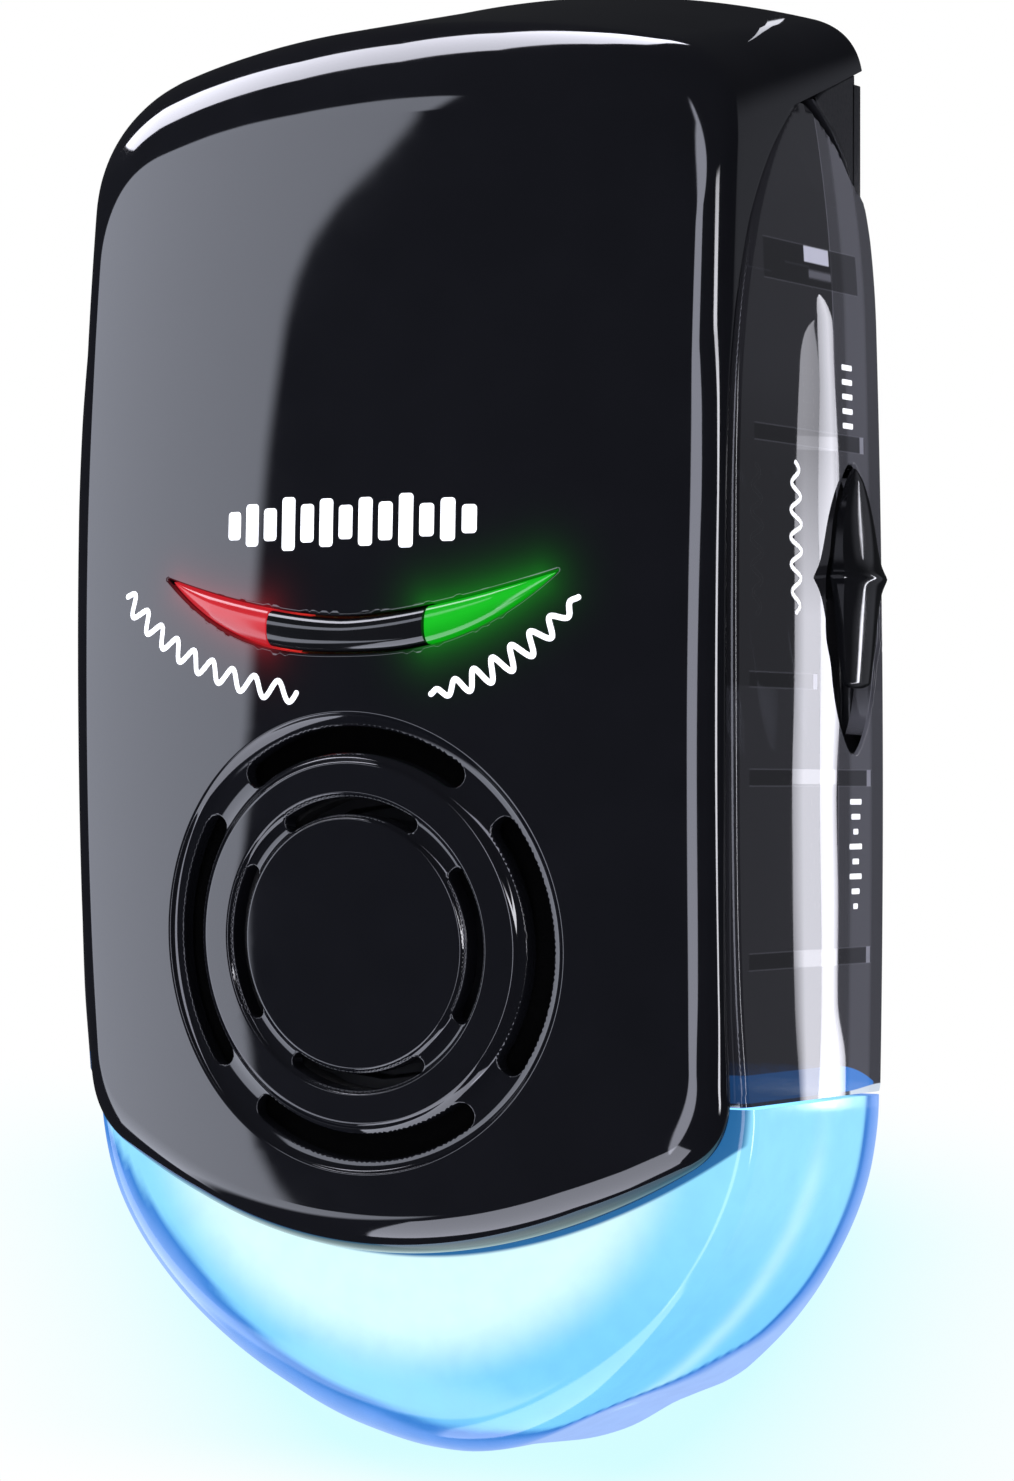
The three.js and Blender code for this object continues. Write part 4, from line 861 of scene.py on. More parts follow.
def build_lens(steps=112):
    shape = Shape()
    profile = [("face", share) for share in (
        0.001, 0.15, 0.3, 0.42, 0.5, 0.55, 0.6, 0.65, 0.7, 0.75, 0.79, 0.82, 0.84, 0.86, 0.88,
        0.9, 0.92, 0.94, 0.96, 0.98)]
    profile += [("rollover", k / 12) for k in range(13)]
    profile += [("flank", k / 64 * 0.985) for k in range(1, 65)]
    profile += [("rim", k / 4) for k in range(1, 5)]
    profile += [("back", share) for share in (0.9, 0.7, 0.5, 0.3, 0.1, 0.001)]
    outer, inner = [
        np.array([[lens_point(part, share, math.pi * i / steps, offset)
                   for i in range(steps + 1)] for part, share in profile])
        for offset in (0.0, WALL)]
    shape.grid(outer, flip=True)
    shape.grid(inner)
    for end in (0, -1):
        shape.grid([outer[:, end], inner[:, end]], flip=(end == -1))
    return shape


def srgb(*levels):
    """Linear colour from 8-bit sRGB levels."""
    shares = [level / 255 for level in levels]
    return np.array([c / 12.92 if c <= 0.04045 else ((c + 0.055) / 1.055) ** 2.4
                     for c in shares])


# The dark line round the bowl, by degrees round it: its depth at the right, and its radius
# on the face at the bottom and the left.
LINE_DEPTH = pchip([0, 2, 12, 25, 40.5, 47, 57, 65, 75, 86, 95, 180],
                   [34.6, 34.5, 34.3, 34.0, 31.6, 27.4, 21.6, 15.8, 13.6, 13.2, 13.1, 12.9])
LINE_RADIUS = pchip([80, 90, 100, 126, 142, 164, 174, 180],
                    [31.5, 30.2, 29.4, 28.8, 29.2, 32.4, 34.7, 35.2])


def lens_colour(points):
    """Light through the bowl: a white core, sky blue round it, a painted highlight streak, a deep
    line and a bluish rim.
    """
    def rise(value, start, end):
        return smooth(np.clip((value - start) / (end - start), 0, 1))[:, None]

    def blend(first, second, share):
        return first + (second - first) * share

    x, y, z = points[:, 0], points[:, 1], points[:, 2]
    drop = np.minimum(0, z - SEAM_Z)
    degrees = np.degrees(np.arctan2(-drop, x))
    down = rise(-drop, 4.0, 24.0)
    sky = srgb(146, 222, 255) * (1 - down) + srgb(120, 205, 255) * down
    colour = blend(srgb(220, 253, 255), sky, rise(np.hypot(x / 36, drop / 31.8), 0.66, 0.86))
    # a painted highlight: a brighter streak inside the flank
    along = (y - 13.5) / 20
    streak = (np.exp(-((along - 0.62 - 0.1 * drop / 20) / 0.09) ** 2)[:, None]
              * rise(y, 14, 18) * (0.25 + 0.75 * rise(-drop, 2, 9)))
    colour = blend(colour, srgb(196, 246, 255), 0.6 * streak)
    # signed distance past the dark line: by depth at the right, by radius at the left
    share = smooth(np.clip((degrees - 76) / 26, 0, 1))
    radial = np.hypot(x, drop) - LINE_RADIUS(degrees) + np.maximum(0, y - 14.0)
    past = (1 - share) * (y - LINE_DEPTH(degrees)) + share * radial
    rim = blend(srgb(96, 146, 230), srgb(160, 190, 248), rise(past, 0.4, 3.6))
    colour = blend(colour, rim, rise(past, 0.0, 0.3))
    line = np.exp(-(past / 0.5) ** 2)[:, None]
    return blend(colour, srgb(44, 116, 204), np.clip(line * 1.25, 0, 1))


def window_light(base, hot):
    """Colour of a lit indicator window: brighter along a band."""
    def colour_of(points):
        x, z = points[:, 0], points[:, 2]
        low, high = smile_low(x), smile_top(x)
        share = np.clip((z - low) / np.maximum(high - low, 0.1), 0, 1)
        band = np.exp(-((share - 0.58) / 0.30) ** 2)
        return base * 0.78 + hot * (0.26 * band[:, None])
    return colour_of


# ------------------------------------------------------------------ slide buttons
def cap_half(along):
    """Half width of the cap: pointed above, blunt below."""
    size = min(1.0, abs(along))
    cusp = 0.16 * math.exp(-size * 9)
    if along >= 0:
        return BUTTON_HALF_WIDTH * (0.84 * max(0.0, 1 - size ** 2.1) ** 0.72 + cusp)
    end = max(0.0, size - 0.94) / 0.06
    return BUTTON_HALF_WIDTH * (0.84 * (1 - 0.42 * size ** 1.6)
                                * max(0.0, 1 - end ** 2) ** 0.5 + cusp)


def cap_height(along, across):
    """Height of the cap over the window, with a raised tip in the middle."""
    crown = max(0.0, 1 - abs(across + 0.12) ** 2.2 / 1.12 ** 2.2)
    end = max(0.0, min(1.0, (1 - abs(along)) / (0.12 if along > 0 else 0.05)))
    body = 0.95 * math.sqrt(crown) * (1 - along * along * 0.55) * math.sqrt(end)
    tip = 1.35 * crown ** 0.8 * math.exp(0.26 - math.sqrt((along / 0.15) ** 2 + 0.07))
    return 0.30 + body + tip


def build_button(side, length_steps=150, width_steps=40):
    """Slide cap just above the window, with its stem and the slide behind the window."""
    shape = Shape()
    top, base = [], []
    for i in range(length_steps + 1):
        along = -math.cos(math.pi * i / length_steps) * 0.998
        half = max(0.12, cap_half(along))
        z = BUTTON_Z + BUTTON_HALF_LENGTH * along
        top_row, base_row = [], []
        for j in range(width_steps + 1):
            across = -math.cos(math.pi * j / width_steps)
            y = BUTTON_Y + half * across
            x = float(window_half(max(14, y), z))
            top_row.append((side * (x + cap_height(along, across)), y, z))
            base_row.append((side * (x + 0.12), y, z))
        top.append(top_row)
        base.append(base_row)
    top, base = np.array(top), np.array(base)
    right = side > 0
    shape.grid(top, flip=right)
    shape.grid(base, flip=not right)
    for end in (0, -1):
        shape.grid([top[:, end], base[:, end]], flip=(end == 0) == right)
        shape.grid([top[end], base[end]], flip=(end == -1) == right)
    slide_half = BUTTON_HALF_LENGTH + BUTTON_TRAVEL
    stem = rounded_rect(29.9, 32.5, BUTTON_Z - 2.0, BUTTON_Z + 2.0, 0.3, 3)
    slide = rounded_rect(25.4, 34.9, BUTTON_Z - slide_half - 1.0, BUTTON_Z + slide_half + 0.9,
                         0.35, 3)
    for loop, x0, x1, rounding in ((stem, 31.4, 36.2, 0.3), (slide, 32.35, 33.25, 0.35)):
        plate(shape, loop, *sorted((side * x0, side * x1)), rounding, axis=0)
    return shape


# ------------------------------------------------------------------ rear of the case
def rear_outline():
    inset, half_height = WALL + 0.8, 65.6
    right = [(float(window_rear(z)) - WALL - 0.35, z)
             for z in [*np.linspace(SEAM_Z + 0.3, 51.0, 60), 51.2]]
    right += [(33.9, 52.2), (33.9, 63.0)]
    for part, share in STATIONS:
        x, z, top_share = outline_at(part, share, COVER_REAR)
        if top_share > 0.15:
            x = x * (HALF_WIDTH - inset) / HALF_WIDTH
            if x < 33.2:
                z = CENTRE_Z + (z - CENTRE_Z) * (half_height - inset) / half_height
                right.append((x, z))
    right = np.array(right)
    left = right[::-1][right[::-1][:, 0] > 0.01] * (-1, 1)
    loop = np.vstack([right, left])
    keep = [0]
    for i in range(1, len(loop)):
        if np.linalg.norm(loop[i] - loop[keep[-1]]) > 0.12:
            keep.append(i)
    return ccw(loop[keep])


# Upper shoulders of the back plate: depth y, height z.
SHOULDER = [(27.6, 60.5), (28.4, 61.2), (30.0, 61.95), (31.6, 62.55), (36.0, 63.9), (36.0, 52.9),
            (34.7, 54.2), (33.3, 56.3), (31.4, 58.0), (29.1, 59.4), (27.2, 60.5)]


def build_rear():
    shape = Shape()
    outline = rear_outline()
    seat = rounded_rect(-13.3, 13.3, 9.7, 30.3, 1.2)
    label = rounded_rect(-20.3, 20.3, -24.3, -4.7, 1.4)
    label_y = 37.1
    wells = [circle(x, z, 2.9, 40) for x, z in SCREWS]
    bores = [circle(x, z, 1.6, 40) for x, z in SCREWS]
    outer_rounding, hole_rounding = 0.5, 0.25
    angles = [math.pi / 2 * k / 4 for k in range(5)]
    # inset and depth down the rim of the plate
    profile = [(0.3, BACK_INNER), (0.09, BACK_INNER + 0.09), (0.0, BACK_INNER + 0.3)]
    profile += [(outer_rounding * (1 - math.cos(a)), DEPTH - outer_rounding * (1 - math.sin(a)))
                for a in angles]
    shape.grid([lift(loop_offset(outline, -inset), y) for inset, y in profile], closed=True)
    holes = [seat, label] + wells
    shape.fill(DEPTH, loop_offset(outline, -outer_rounding),
               [loop_offset(hole, hole_rounding) for hole in holes], flip=True)
    for hole, floor_y in zip(holes, [BACK_INNER, label_y] + [WELL_FLOOR] * 4):
        rows = [lift(loop_offset(hole, hole_rounding * (1 - math.sin(a))),
                     DEPTH - hole_rounding * (1 - math.cos(a))) for a in angles]
        shape.grid(rows + [lift(hole, floor_y)], closed=True)
    shape.fill(label_y, label, flip=True)
    for well, bore in zip(wells, bores):
        shape.grid([lift(well, WELL_FLOOR), lift(bore, WELL_FLOOR)], closed=True)
        shape.grid([lift(bore, WELL_FLOOR), lift(bore, BACK_INNER)], closed=True)
    shape.fill(BACK_INNER, loop_offset(outline, -0.3), [seat] + bores)
    for side in (-1, 1):
        plate(shape, SHOULDER, *sorted((side * 31.6, side * 33.9)), 0.3, axis=0)
    # two posts that stand forward from the plate
    for x, z in ((-17, 47.5), (17, -20.5)):
        profile = [(0, 24.9), (1.35, 24.9), (2.6, 24.9), (2.8, 25.1), (2.8, 35.3)]
        revolve(shape, profile, x, z, sharp=(2, 3))
    return shape


def cross_recess():
    """Outline of the screw's cross, about the middle of its head."""
    arm, half_width = 1.55, 0.32
    reaches = [half_width + (arm - half_width) * k / 5 for k in range(6)]
    points = []
    for q in range(4):
        angle = q * math.pi / 2
        out_x, out_z = math.cos(angle), math.sin(angle)
        side_x, side_z = -out_z, out_x
        for side, steps in ((-half_width, reaches), (half_width, reaches[::-1])):
            points += [(out_x * reach + side_x * side, out_z * reach + side_z * side)
                       for reach in steps]
    return ccw(thin(np.array(points), 1e-4) * 0.92)  # neighbouring arms share a corner


def build_screw(x, z):
    """Pan-head screw with a cross recess, head towards the wall."""
    shape = Shape()
    radius, head_y, top_y, count = 2.55, 36.05, 37.25, 96

    def crown(flat):
        return top_y - 0.5 * (np.hypot(flat[:, 0], flat[:, 1]) / radius) ** 2.6

    cross = cross_recess()
    points = np.vstack([circle(0, 0, radius * share, count)
                        for share in (0.62, 0.75, 0.86, 0.93)])
    points = points[(distance_to(points, cross) > 0.12) & ~inside(points, cross)]
    edge = circle(0, 0, radius * 0.985, count)
    flat, triangles, members = region(edge, [cross], points)
    centre = np.array([x, z])
    shape.add(lift(flat + centre, crown(flat)), triangles, flip=True)
    wall = circle(x, z, radius, count)
    shape.grid([lift(edge + centre, crown(edge)), lift(wall, top_y - 0.62), lift(wall, head_y)],
               closed=True, flip=True)
    rim = flat[members[1]]
    floor = rim * 0.62
    floor_y = top_y - 0.85
    shape.grid([lift(rim + centre, crown(rim)), lift(floor + centre, floor_y)], closed=True)
    flat, triangles, _ = region(floor)
    shape.add(lift(flat + centre, floor_y), triangles, flip=True)
    # threaded shank
    start_y, tip_y, steps, around = 23.2, 22.5, 14 * 4, 28
    rows = []
    angle = np.arange(around) * 2 * math.pi / around
    for k in range(steps + 1):
        phase = (k / 4 - angle / (2 * math.pi)) % 1.0
        thread = 0.95 + 0.30 * np.maximum(0, 1 - np.abs(phase - 0.5) * 4)
        rows.append(lift(circle(x, z, thread, around), start_y + (head_y - start_y) * k / steps))
    shape.grid(rows, closed=True, flip=True)
    shape.grid([lift(circle(x, z, radius, around), head_y), rows[-1]], closed=True)
    shape.grid([rows[0], np.repeat([[x, tip_y, z]], around, 0)], closed=True)
    return shape


def build_plug():
    """Plug block in its seat: a cover plate and a smaller block in front of it."""
    shape = Shape()
    slots = [rounded_rect(x - 0.96, x + 0.96, 16.6, 23.4, 0.3, 3) for x in (-BLADE_X, BLADE_X)]
    plate(shape, rounded_rect(-13, 13, 10, 30, 1.0), 34.9, DEPTH, 0.3, slots)
    plate(shape, rounded_rect(-11.2, 11.2, 12.2, 27.8, 0.8), 28.6, 35.0, 0.2, slots)
    return shape


def build_blade(x):
    shape = Shape()
    tip_y, half_height, half_thickness = DEPTH + 17.3, 3.175, 0.76
    hole_y = DEPTH + 11.7
    bottom_z = PLUG_Z - half_height
    lower = [(26.2, bottom_z)]
    for turn in math.pi / 2 * np.linspace(0, 1, 9):
        lower.append((tip_y - 2.3 + 2.3 * math.sin(turn), bottom_z + 1.9 * (1 - math.cos(turn))))
    loop = ccw(np.array(lower + [(y, 2 * PLUG_Z - z) for y, z in lower[::-1]]))

    def inset(distance):
        flat = loop.copy()
        flat[:, 1] = PLUG_Z + (flat[:, 1] - PLUG_Z) * (half_height - distance) / half_height
        flat[:, 0] -= distance * np.clip((flat[:, 0] - 30) / (tip_y - 30), 0, 1) ** 6
        return flat

    def through(edge):
        """An edge profile of (size, depth below the side), run from one side to the other."""
        return ([(size, -half_thickness + depth) for size, depth in edge]
                + [(size, half_thickness - depth) for size, depth in edge[::-1]])

    rim = through([(0.28, 0), (0.12, 0.05), (0.03, 0.14), (0.0, 0.28)])
    shape.grid([lift(inset(size), x + height, 0) for size, height in rim],
               closed=True, flip=True)
    for side in (-1, 1):
        shape.fill(x + side * half_thickness, inset(0.28), [circle(hole_y, PLUG_Z, 1.75, 40)],
                   axis=0, flip=(side < 0))
    bore = through([(1.75, 0), (1.64, 0.05), (1.6, 0.15)])
    shape.grid([lift(circle(hole_y, PLUG_Z, radius, 40), x + height, 0)
                for radius, height in bore], closed=True)
    return shape


# ------------------------------------------------------------------ printed marks
def ribbon(points, width):
    """Closed outline of a band along a line, with round ends."""
    points = np.asarray(points, float)
    along = np.zeros_like(points)
    along[1:-1] = points[2:] - points[:-2]
    along[0], along[-1] = points[1] - points[0], points[-1] - points[-2]
    along = unit(along)
    across = np.stack([-along[:, 1], along[:, 0]], 1)
    half = width / 2
    caps = []
    for end, way in ((-1, 1), (0, -1)):
        out, side = along[end] * way, across[end] * way
        caps.append([points[end] + half * (math.cos(a) * -side + math.sin(a) * out)
                     for a in np.linspace(0, math.pi, 8)[1:-1]])
    return ccw(np.vstack([points - half * across, caps[0], (points + half * across)[::-1],
                          caps[1]]))


def print_mark(shape, loop, surface):
    """A thin printed layer; surface turns flat points into raised points in space."""
    points = []
    if np.ptp(loop, axis=0).max() > 1.5:
        pitch = 0.8
        low, high = loop.min(0), loop.max(0)
        grid = flat_grid(np.arange(low[0], high[0], pitch), np.arange(low[1], high[1], pitch))
        points = grid[inside(grid, loop) & (distance_to(grid, loop) > 0.2)]
    flat, triangles, members = region(loop, (), points)
    top, base = surface(flat, 0.05), surface(flat, -0.02)
    shape.add(top, triangles)
    shape.grid([top[members[0]], base[members[0]]], closed=True)


def on_face(flat, height):
    x, z = flat[:, 0], flat[:, 1]
    normals = unit(np.stack([x / 96.5, -np.ones(len(flat)), (z - CENTRE_Z) / 424.6], 1))
    return np.stack([x, face(x, z), z], 1) + normals * height


def on_side(flat, height):
    return np.stack([window_half(flat[:, 0], flat[:, 1]) + height, flat[:, 0], flat[:, 1]], 1)


def wave_along(curve, waves, steps, amplitude):
    """A sine wave drawn along a bezier curve; amplitude is a function of the share along it."""
    def at(t):
        return np.array(bezier(*curve, t))

    line = []
    for k in range(steps + 1):
        t = k / steps
        along = unit(at(min(1, t + 1e-3)) - at(max(0, t - 1e-3)))
        across = np.array([-along[1], along[0]])
        line.append(at(t) + across * amplitude(t) * math.sin(2 * math.pi * waves * t))
    return line


def build_face_prints():
    shape = Shape()
    # a row of thirteen bars above the indicator
    heights = [2.6, 3.9, 3.0, 4.9, 3.5, 4.4, 3.1, 4.4, 3.5, 4.9, 3.0, 3.9, 2.6]
    middle_z = 21.05
    for i, height in enumerate(heights):
        x = -12.5 + 25.0 * i / (len(heights) - 1)
        bar = rounded_rect(x - 0.72, x + 0.72, middle_z - height / 2, middle_z + height / 2,
                           0.35, 4)
        print_mark(shape, bar, on_face)
    # an even wave under the left window, and one that swells in the middle under the right
    even = wave_along(((-26.2, 14.9), (-18.5, 7.0), (-5.2, 5.6)), waves=9, steps=9 * 22,
                      amplitude=lambda t: 0.88)
    swelling = wave_along(((8.9, 5.4), (16.6, 6.9), (22.7, 13.9)), waves=7.5, steps=240,
                          amplitude=lambda t: 1.02 * math.sin(math.pi * t) ** 0.55)
    for line in (even, swelling):
        print_mark(shape, ribbon(line, 0.52), on_face)
    return shape


def build_side_prints():
    """Five equal bars, eight bars of varied width below, and an upright wave between."""
    shape = Shape()
    bars = [(29.5, 31.5, 30.5 + i * 1.35) for i in range(5)]
    for i, width in enumerate((0.8, 1.5, 2.3, 1.2, 2.4, 0.9, 1.7, 2.2)):
        bars.append((31.45 - width / 2, 31.45 + width / 2, -13.9 + i * 1.38))
    for y0, y1, z in bars:
        print_mark(shape, rounded_rect(y0, y1, z - 0.26, z + 0.26, 0.12, 3), on_side)
    line = []
    for k in range(161):
        t = k / 160
        swing = 1.05 * math.sin(2 * math.pi * 5.5 * t) * (0.55 + 0.45 * math.sin(math.pi * t))
        line.append((19.85 + swing, 12.9 + 13.6 * t))
    print_mark(shape, ribbon(line, 0.44), on_side)
    return shape


# ------------------------------------------------------------------ shader helpers
MATERIALS = {}


class Value:
    """A node output; arithmetic on it adds math nodes."""

    def __init__(self, tree, socket):
        self.tree, self.socket = tree, socket


def math_operator(kind, swapped):
    def method(self, other):
        return self.tree.calc(kind, *((other, self) if swapped else (self, other)))
    return method


for name, kind in (("add", "ADD"), ("sub", "SUBTRACT"), ("mul", "MULTIPLY"),
                   ("truediv", "DIVIDE"), ("pow", "POWER")):
    setattr(Value, f"__{name}__", math_operator(kind, False))
    setattr(Value, f"__r{name}__", math_operator(kind, True))


class Tree:
    """Fills the node tree of a material or a world."""

    def __init__(self, owner, output="ShaderNodeOutputMaterial"):
        owner.use_nodes = True
        self.tree = owner.node_tree
        self.tree.nodes.clear()
        self.output = self.node(output)

    def node(self, kind, inputs=None, **properties):
        node = self.tree.nodes.new(kind)
        for name, value in properties.items():
            setattr(node, name, value)
        for name, value in (inputs or {}).items():
            self.put(node.inputs[name], value)
        return node

    def put(self, socket, value):
        if isinstance(value, Value):
            self.tree.links.new(value.socket, socket)
        else:
            socket.default_value = value

    def add(self, kind, inputs=None, output=0, **properties):
        return Value(self, self.node(kind, inputs, **properties).outputs[output])

    def surface(self, shader):
        self.put(self.output.inputs["Surface"], shader)

    def principled(self, **inputs):
        inputs = {name.replace("_", " "): value for name, value in inputs.items()}
        self.surface(self.add("ShaderNodeBsdfPrincipled", inputs))

    def coordinates(self, kind="Object"):
        return self.add("ShaderNodeTexCoord", output=kind)

    def noise(self, scale, detail=3, roughness=0.5, stretch=(1, 1, 1)):
        where = self.add("ShaderNodeMapping", {"Scale": stretch, "Vector": self.coordinates()})
        return self.add("ShaderNodeTexNoise", {"Scale": scale, "Detail": detail,
                                               "Roughness": roughness, "Vector": where}, "Fac")

    def spread(self, noise, low, high):
        """Noise stretched to run from low to high."""
        return self.add("ShaderNodeMapRange", {"From Min": 0.3, "From Max": 0.7, "To Min": low,
                                               "To Max": high, "Value": noise}, "Result")

    def rise(self, value, low, high):
        """0 below low, 1 above high."""
        return self.add("ShaderNodeMapRange",
                        {"Value": value, "From Min": low, "From Max": high},
                        "Result", interpolation_type="SMOOTHSTEP")

    def zone(self, value, low, high, soft, soft_high=None):
        """1 between low and high, with soft ends."""
        if soft_high is None:
            soft_high = soft
        return (self.rise(value, low - soft, low + soft)
                * (1.0 - self.rise(value, high - soft_high, high + soft_high)))

    def calc(self, kind, first, second=None, clamp=False):
        inputs = {0: first} if second is None else {0: first, 1: second}
        return self.add("ShaderNodeMath", inputs, operation=kind, use_clamp=clamp)

    def mix(self, share, first, second, blend="MIX"):
        return self.add("ShaderNodeMix", {0: share, 6: first, 7: second}, 2,
                        data_type="RGBA", blend_type=blend)

    def mottle(self, noise, first, second):
        """Two colours mixed by a noise."""
        return self.mix(self.spread(noise, 0, 1), (*first, 1), (*second, 1))

    def add_shaders(self, first, second):
        return self.add("ShaderNodeAddShader", {0: first, 1: second})

    def mix_shaders(self, share, first, second):
        return self.add("ShaderNodeMixShader", {0: share, 1: first, 2: second})

    def emission(self, colour, strength=1.0):
        return self.add("ShaderNodeEmission", {"Color": colour, "Strength": strength})

    def glow(self):
        return self.add("ShaderNodeAttribute", output="Color", attribute_name="glow")

    def body(self, axes):
        """Body coordinates in millimetres for the named axes."""
        split = self.node("ShaderNodeSeparateXYZ", {0: self.coordinates()})
        origin = {"X": 0.0, "Y": DEPTH, "Z": PLUG_Z}
        return [Value(self, split.outputs[axis]) * 1000.0 + origin[axis] for axis in axes]

    def bump(self, height, strength, distance, normal=None):
        inputs = {"Strength": strength, "Distance": distance, "Height": height}
        if normal is not None:
            inputs["Normal"] = normal
        return self.add("ShaderNodeBump", inputs, "Normal")

    def bevel(self, radius):
        return self.add("ShaderNodeBevel", {"Radius": radius}, "Normal", samples=4)


def new_material(name):
    MATERIALS[name] = bpy.data.materials.new(name)
    return Tree(MATERIALS[name])


def shade(colour, factor):
    return tuple(min(1, c * factor) for c in colour)


# ------------------------------------------------------------------ materials
def moulded(name, colour, roughness, spread=0.04, grain=1800, bump=0.00002, strength=0.25,
            edge=0.0002, variation=0.12, **inputs):
    """Moulded plastic: fine grain, small changes of shade and roughness, softened edges."""
    tree = new_material(name)
    fine = tree.noise(grain)
    normal = tree.bevel(edge) if edge else None
    tree.principled(
        Base_Color=tree.mottle(tree.noise(90, 2), shade(colour, 1 - variation),
                               shade(colour, 1 + variation)),
        Roughness=tree.spread(fine, max(0.02, roughness - spread), roughness + spread),
        Normal=tree.bump(fine, strength, bump, normal), **inputs)


def metal(name, colour, roughness, stretch=(1, 1, 1), grain=600, bump=0.000006):
    tree = new_material(name)
    fine = tree.noise(grain, detail=4, roughness=0.6, stretch=stretch)
    tree.principled(
        Base_Color=tree.mottle(tree.noise(120), shade(colour, 0.86), shade(colour, 1.06)),
        Metallic=1.0, Roughness=tree.spread(fine, roughness * 0.7, roughness * 1.35),
        Normal=tree.bump(fine, 0.35, bump, tree.bevel(0.00015)))


def black_gloss():
    """High-gloss black with faint flow waviness, and the glow of the two windows."""
    tree = new_material("black_gloss")
    spots = tree.noise(160, detail=4, roughness=0.6)
    waves = tree.bump(tree.noise(35, 2, roughness=0.4), strength=0.02, distance=0.00004)
    tree.principled(
        Base_Color=tree.mottle(spots, (0.0044, 0.0046, 0.0060), (0.0052, 0.0054, 0.0070)),
        Roughness=tree.spread(spots, 0.035, 0.06), IOR=1.56,
        Normal=tree.bump(tree.noise(2600, 2), strength=0.02, distance=0.000004, normal=waves),
        Emission_Color=tree.glow(), Emission_Strength=1.0)


def black_button():
    tree = new_material("black_button")
    spots = tree.noise(240)
    tree.principled(
        Base_Color=tree.mottle(spots, (0.0042, 0.0044, 0.0052), (0.0058, 0.006, 0.007)),
        Roughness=tree.spread(spots, 0.05, 0.085), IOR=1.56,
        Normal=tree.bump(tree.noise(2200, 2), strength=0.03, distance=0.000004))


# Ribs painted in light and shade on the smoke windows, where they would be seen through them: bottom
# z, top z, front y, rear y.
PAINTED_RIB_BANDS = [(42.8, 46.5, 14.5, 33.3), (28.1, 29.6, 12.0, 33.8), (-2.8, -1.3, 11.0, 34.6),
             (-19.2, -17.7, 11.0, 34.6), (6.0, 7.4, 11.0, 24.0)]


def painted_inside_light(tree, y, z):
    """Painted light and shade of what lies behind the smoke windows, as a brightness."""
    zone = tree.zone
    tone = (0.009 + tree.rise(y, 27.9, 28.1) * 0.030       # painted light: brighter behind the step to the rear wall
            + zone(y, 30.4, 34.6, soft=0.5) * 0.045        # broad upright band of painted light
            + zone(y, 27.95, 28.15, soft=0.05) * 0.05      # painted highlight along the step
            + zone(z, -60, 6.1, soft=0.05) * 0.006         # lower part: a little painted light
            + zone(z, 30.5, 60, soft=6.0) * 0.007)         # upper part: a little painted light
    # each rib gets painted shade across it and painted highlights along its top and bottom edges
    for z0, z1, y0, y1 in PAINTED_RIB_BANDS:
        rib = zone(z, z0, z1, soft=0.05) * zone(y, y0, y1, soft=0.15)
        tone = tone * (1.0 - rib * 0.6)
        edges = (zone(z, z0 - 0.06, z0 + 0.06, soft=0.05)
                 + zone(z, z1 - 0.06, z1 + 0.06, soft=0.05))
        tone = tone + edges * zone(y, y0, y1, soft=0.15) * 0.03
        if z0 < 40:  # every rib but the top one ends in a bright tab, a painted highlight
            tab = zone(z, z0, z1, soft=0.05) * zone(y, y1 - 0.9, y1 - 0.1, soft=0.05)
            tone = tone + tab * 0.22
    # two painted highlights, pale patches, on the top rib
    tone = tone + zone(z, 45.0, 46.45, soft=0.08) * zone(y, 22.6, 27.6, soft=0.1) * 0.55
    return tone + zone(z, 43.6, 44.3, soft=0.2) * zone(y, 23.4, 27.9, soft=0.2) * 0.10


def smoke_clear():
    """Smoke-tinted clear plastic: ribs and the inner rear wall show faintly through it as painted
    light and shade, which partly glows.
    """
    tree = new_material("smoke_clear")
    spots = tree.noise(120)
    y, z = tree.body("YZ")
    tone = painted_inside_light(tree, y, z)
    colour = tree.add("ShaderNodeCombineColor", {"Red": tone, "Green": tone,
                                                 "Blue": tone * 1.18})
    tint = tree.mottle(spots, (0.15, 0.155, 0.17), (0.18, 0.185, 0.20))
    clear = tree.add("ShaderNodeBsdfTransparent", {"Color": tint})
    # painted light and shade of the inside, shown as diffuse colour and a glow though nothing there
    # is a lamp
    behind = tree.add_shaders(tree.add("ShaderNodeBsdfDiffuse", {"Color": colour}),
                              tree.emission(colour, 0.45))
    gloss = tree.add("ShaderNodeBsdfGlossy", {
        "Roughness": tree.spread(spots, 0.008, 0.018),
        "Normal": tree.bump(tree.noise(2400, 2), strength=0.01, distance=0.000002)})
    plastic = tree.mix_shaders(tree.add("ShaderNodeFresnel", {"IOR": 1.5}),
                               tree.mix_shaders(0.75, clear, behind), gloss)
    # painted light: the blue glow above the joint with the night light, and a pale line at its foot
    top = -28.45 - (tree.calc("MAXIMUM", y - 26.0, 0.0) / 9.6) ** 2.4 * 1.9
    foot = SEAM_Z + 0.45 + tree.rise(y, 30, 37) * 0.4
    lit = tree.rise(top - z, -0.06, 0.06) * tree.rise(z - foot, -0.05, 0.05)
    lit = lit * (1.0 - tree.rise(y, 35.3, 35.7))
    blue = tree.mix(tree.rise(y, 27.9, 28.3), (0.0, 0.030, 0.105, 1), (0.0, 0.160, 0.58, 1))
    line = (1.0 - tree.rise(z - foot, -0.05, 0.05)) * tree.rise(y, 30.5, 31.0)
    tree.surface(tree.add_shaders(tree.add_shaders(plastic, tree.emission(blue, lit)),
                                  tree.emission((0.55, 0.62, 0.70, 1), line)))


